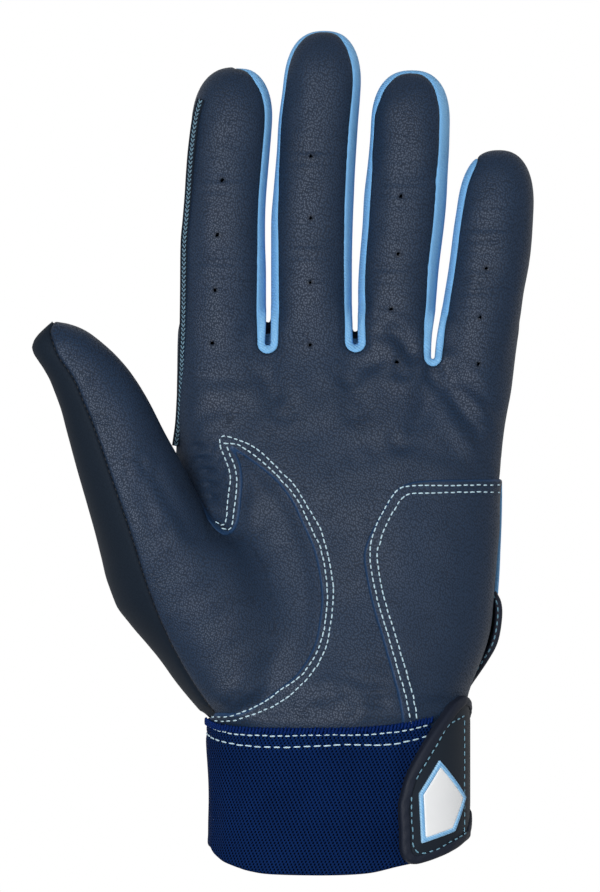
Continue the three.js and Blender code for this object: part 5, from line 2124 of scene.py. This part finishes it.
INDEX_STRIP = (
    (197, 99), (192, 118), (188, 148), (186, 172), (184.5, 196), (182.5, 220), (180.5, 244),
    (180, 292), (179.5, 328), (178.5, 352), (177.5, 376), (176.5, 400), (175, 424), (172, 446),
)
STRIP_HEIGHT, STRIP_SHIFT, STRIP_WIDTH = 15.0, 1.15, 2.4
BRAID_SIZE = (0.62, 0.19, 0.16)  # half sizes of the strip's interlocked stitches
BRAID_PITCH = 1.2
# Its two rows: each one's shift along the strip, slant, lean outwards, and place out and up.
BRAID_ROWS = ((0.35, 1.0, 0.4, -0.05, 1.08), (-0.25, -1.0, 0.9, 0.45, 0.98))
FLAP_LOW, FLAP_RISE = 6.6, 6.4  # the height of the flap's foot and how far it stands up
PIPING = (
    (500, 482), (500, 500), (499.5, 524), (498.5, 548), (497.5, 572), (496, 594),
)
PIPING_HEIGHT = 13.6
FLAP_EDGE = (
    (495, 593), (500, 604), (500.5, 619), (496.5, 641), (487, 659), (470, 684), (463, 695),
)
FLAP_FOOT = (
    (489, 592), (489, 606), (487, 622), (483, 641), (476, 659), (466, 680), (461, 692),
)


class Sewing:
    """Threads and trims that lie on the leather hand."""

    def __init__(self, hand: Hand, shop: Workshop) -> None:
        """Keeps the hand that they lie on and what makes the objects."""
        self.hand, self.shop = hand, shop

    def stitches(self, name: str, pixels: Any, lift: float, finish: Thread,
                 pitch: float = 1.72, length: float = 1.3, width: float = 0.21) -> bpy.types.Object:
        """A row of stitches along a traced line of the palm view.

        Args:
            name: the piece's name.
            pixels: the traced line.
            lift: how far above the filled hand they lie.
            finish: their thread.
            pitch: the distance from one to the next.
            length: the length of each.
            width: half of the thread's width.
        Returns:
            The object, which rides on no body yet.
        """
        middles, ahead = laid(curve(at(pixels), 0.4), pitch)
        wobble = np.random.default_rng(len(name) * 7).normal(0, 1, (4, len(middles)))
        points, normals = self.hand.top(middles + 0.05 * wobble[:2].T)
        run = lifted(ahead, 0.0)
        drop = normals[:, 0] * run[:, 0] + normals[:, 1] * run[:, 1]
        run[:, 2] = -drop / np.maximum(normals[:, 2], 0.15)
        centres = points + normals * (lift + self.hand.folds(points))[:, None]
        sizes = thread_sizes(length / 2 * (1 + 0.08 * wobble[2]), width)
        return self.shop.threads(name, centres, unit(run), normals, sizes, finish)

    def bar(self, name: str, path: Array, width: float, height: float,
            finish: Finish) -> bpy.types.Object:
        """A rounded strip along a path in space; its height stands along Z."""
        ups = np.tile(UP, (len(path), 1))
        sides = unit(np.cross(unit(np.gradient(path, axis=0)), ups))
        points, faces = swept(path, sides, ups, rounded(width, height))
        return self.shop.mesh(name, points, faces, finish, {"edge": np.full(len(points), 1.0)})

    def index_strip(self) -> None:
        """The folded strip with two interlocked stitch rows down the index finger's outer side."""
        path = lifted(curve(at(INDEX_STRIP)), STRIP_HEIGHT)
        path[:, 0] += STRIP_SHIFT
        root = float(along(ROOT_LINE[0][1]))
        for name, chosen in (("upper", path[:, 1] >= root - 0.6), ("lower", path[:, 1] <= root)):
            part = path[chosen]
            strip = self.bar(f"index_strip_{name}", part, STRIP_WIDTH, 2.0, SIDE_LEATHER)
            for made in (strip, self.interlocked(f"index_strip_stitches_{name}", part)):
                if name == "upper":
                    bend_finger(made, 0)
                else:
                    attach(made, "hand")

    def interlocked(self, name: str, path: Array) -> bpy.types.Object:
        """Two rows of slanted stitches, one on the strip's top and one on its outer side."""
        middles, ahead = laid(path, BRAID_PITCH)
        outward = unit(np.cross(ahead, UP))
        outward[:, 0] = -np.abs(outward[:, 0])
        parts = []
        for shift, turn, lean, out, up in BRAID_ROWS:
            facing = unit(outward * lean + UP)
            place = middles + outward * out + UP * up
            run = unit(ahead)
            run = run + turn * 0.55 * np.cross(run, facing)
            parts.append((place + ahead * shift * 0.5, run, facing))
        centres, runs, ups = (np.vstack([p[i] for p in parts]) for i in range(3))
        sizes = np.tile(BRAID_SIZE, (len(centres), 1))
        return self.shop.threads(name, centres, runs, ups, sizes, STRIP_THREAD)

    def flap(self) -> None:
        """The back's flap that shows at the heel's right, with its bound edge and stitches."""
        edge, foot = curve(at(FLAP_EDGE)), curve(at(FLAP_FOOT))
        rows, columns = 9, 60
        a, b = sampled(edge, columns), sampled(foot, columns)
        share = np.linspace(0, 1, rows)[:, None, None]
        bulge = np.sin(share * math.pi) * 0.6
        xy = b[None] + (a - b)[None] * share + bulge * np.array([1.0, 0.0])
        z = np.broadcast_to(FLAP_LOW + FLAP_RISE * share, (rows, columns, 1))
        surface = np.concatenate([xy, z], -1)
        points, faces = surface.reshape(-1, 3), grid_faces(rows, columns)
        ways = np.gradient(surface, axis=0), np.gradient(surface, axis=1)
        normals = unit(np.cross(*ways).reshape(-1, 3))
        if normals[:, 0].mean() < 0:
            normals = -normals
        one, two, three = (points[faces[:, k]] for k in range(3))
        if np.cross(two - one, three - one)[:, 0].sum() < 0:
            faces = faces[:, ::-1]
        skin = Skin(points, faces, flat, normals, {"edge": np.full(len(points), 2.0)})
        flap = self.shop.panel("back_flap_skin", skin, SIDE_LEATHER, 1.1)
        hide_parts("back_flap")
        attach(flap, "hand")
        path = np.column_stack([edge, np.linspace(14.6, 14.9, len(edge))])
        path[:, 0] -= 0.6
        binding = self.bar("flap_binding_skin", path, 2.2, 3.9, BINDING_LEATHER)
        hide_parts("flap_binding")
        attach(binding, "hand")
        middles, ahead = laid(path + (-0.15, 0, 1.9), 1.9)
        ups, sizes = (np.tile(row, (len(middles), 1)) for row in (UP, (0.6, 0.22, 0.18)))
        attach(self.shop.threads("flap_stitches", middles, ahead, ups, sizes, TEAL_THREAD), "hand")

    def make(self) -> None:
        """Makes every thread row and trim of the hand."""
        for rows, lift in ((THUMB_ROWS_SEWN, 0.1), (HEEL_ROWS_SEWN, HEEL_HEIGHT + 0.1)):
            for name, pixels in rows.items():
                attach(self.stitches(name, pixels, lift, PALE_THREAD), "hand")
        line = curve(at(THUMB_SEAM), 0.5)
        _, ly = self.hand.thumb.local(line[:, 0], line[:, 1])
        for name, chosen in (("thumb_seam_upper", ly >= 0), ("thumb_seam_lower", ly <= 0)):
            pixels = pixels_at(line[chosen])[::3]
            row = self.stitches(name, pixels, -0.55, BLACK_THREAD, 1.75, 1.1, 0.24)
            if name == "thumb_seam_upper":
                bend_thumb(row)
            else:
                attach(row, "hand")
        self.index_strip()
        piping = lifted(curve(at(PIPING)), PIPING_HEIGHT)
        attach(self.bar("heel_piping", piping, 1.3, 1.7, SKY_LEATHER), "hand")
        self.flap()


LENS, SENSOR = 1000, 36  # in millimetres: so long that the view is nearly parallel
VIEW_CENTRE = (300, 446)  # the pixel in the middle of the photograph
VIEW_HEIGHT = 0.022  # the height in metres that is shown at the photograph's scale
LIGHTS = (  # name, place and side in metres, and power in watts
    ("key", (-0.28, 0.0, 1.2), 0.34, 10.6),
    ("front", (0.0, 0.3, 1.4), 0.6, 3.4),
    ("right", (0.8, 0.1, 0.8), 0.7, 1.0),
)
WHITE = (1, 1, 1, 1)
FLOOR_HALF, FLOOR_LEVEL = 4, -0.0004


class Studio:
    """The camera, the floor and the soft light of the photograph."""

    def camera(self) -> None:
        """Looks straight down at the palm, as the photograph does."""
        data = bpy.data.cameras.new("photo_camera")
        data.type = "PERSP"
        data.lens, data.sensor_width = LENS, SENSOR
        made = linked("photo_camera", data)
        centre = at([VIEW_CENTRE])[0] * MILLIMETRE
        distance = PHOTO_SIZE[1] * PIXEL * MILLIMETRE * data.lens / data.sensor_width
        made.location = (centre[0], centre[1], distance + VIEW_HEIGHT)
        data.clip_start, data.clip_end = 0.05, 50
        bpy.context.scene.camera = made

    def light(self, name: str, place: tuple[float, float, float], size: float,
              power: float) -> None:
        """A square area light that faces the glove."""
        data = bpy.data.lights.new(name, "AREA")
        data.shape, data.size, data.energy = "SQUARE", size, power
        made = linked(name, data)
        made.location = place
        aim = Vector((0.0, 0.0, 0.02)) - Vector(place)
        made.rotation_mode = "QUATERNION"
        made.rotation_quaternion = aim.to_track_quat("-Z", "Y")

    @staticmethod
    def seen(b: Bench, lit: Wire, white: Wire, kind: str) -> None:
        """Ends nodes that light with one shader and show another to the camera."""
        path = b.node("ShaderNodeLightPath", {}, {}, "Is Camera Ray")
        b.end(b.node("ShaderNodeMixShader", {}, {0: path, 1: lit, 2: white}), kind)

    def floor(self) -> None:
        """A plain pale floor that the camera sees as pure white."""
        b = Bench(bpy.data.materials.new("studio_floor"))
        diffuse = b.node("ShaderNodeBsdfDiffuse", {}, {"Color": (0.82, 0.82, 0.82, 1)})
        white = b.node("ShaderNodeEmission", {}, {"Color": WHITE, "Strength": 1.0})
        self.seen(b, diffuse, white, "ShaderNodeOutputMaterial")
        mesh = bpy.data.meshes.new("studio_floor")
        corners = [(x * FLOOR_HALF, y * FLOOR_HALF, FLOOR_LEVEL)
                   for x, y in ((-1, -1), (1, -1), (1, 1), (-1, 1))]
        mesh.from_pydata(corners, [], [(0, 1, 2, 3)])
        mesh.materials.append(b.owner)
        linked("studio_floor", mesh)

    def world(self) -> None:
        """Even pale surroundings, seen as white."""
        b = Bench(bpy.data.worlds.new("studio_world"))
        soft = b.node("ShaderNodeBackground", {}, {"Color": (0.84, 0.92, 1.0, 1), "Strength": 0.14})
        white = b.node("ShaderNodeBackground", {}, {"Color": WHITE, "Strength": 1.0})
        self.seen(b, soft, white, "ShaderNodeOutputWorld")
        bpy.context.scene.world = b.owner

    def make(self) -> None:
        """Sets up the whole studio."""
        self.camera()
        self.world()
        self.floor()
        for row in LIGHTS:
            self.light(*row)
        scene = bpy.context.scene
        scene.render.engine = "CYCLES"
        scene.view_settings.view_transform = "Standard"
        scene.render.resolution_x, scene.render.resolution_y = PHOTO_SIZE


def main() -> None:
    """Builds the glove and its studio."""
    Studio().make()
    shop = Workshop()
    hand = Hand(GRID_CELL)
    Leathers(hand, shop).make()
    Sewing(hand, shop).make()
    Wrist(shop).make()


if __name__ == "__main__":
    main()
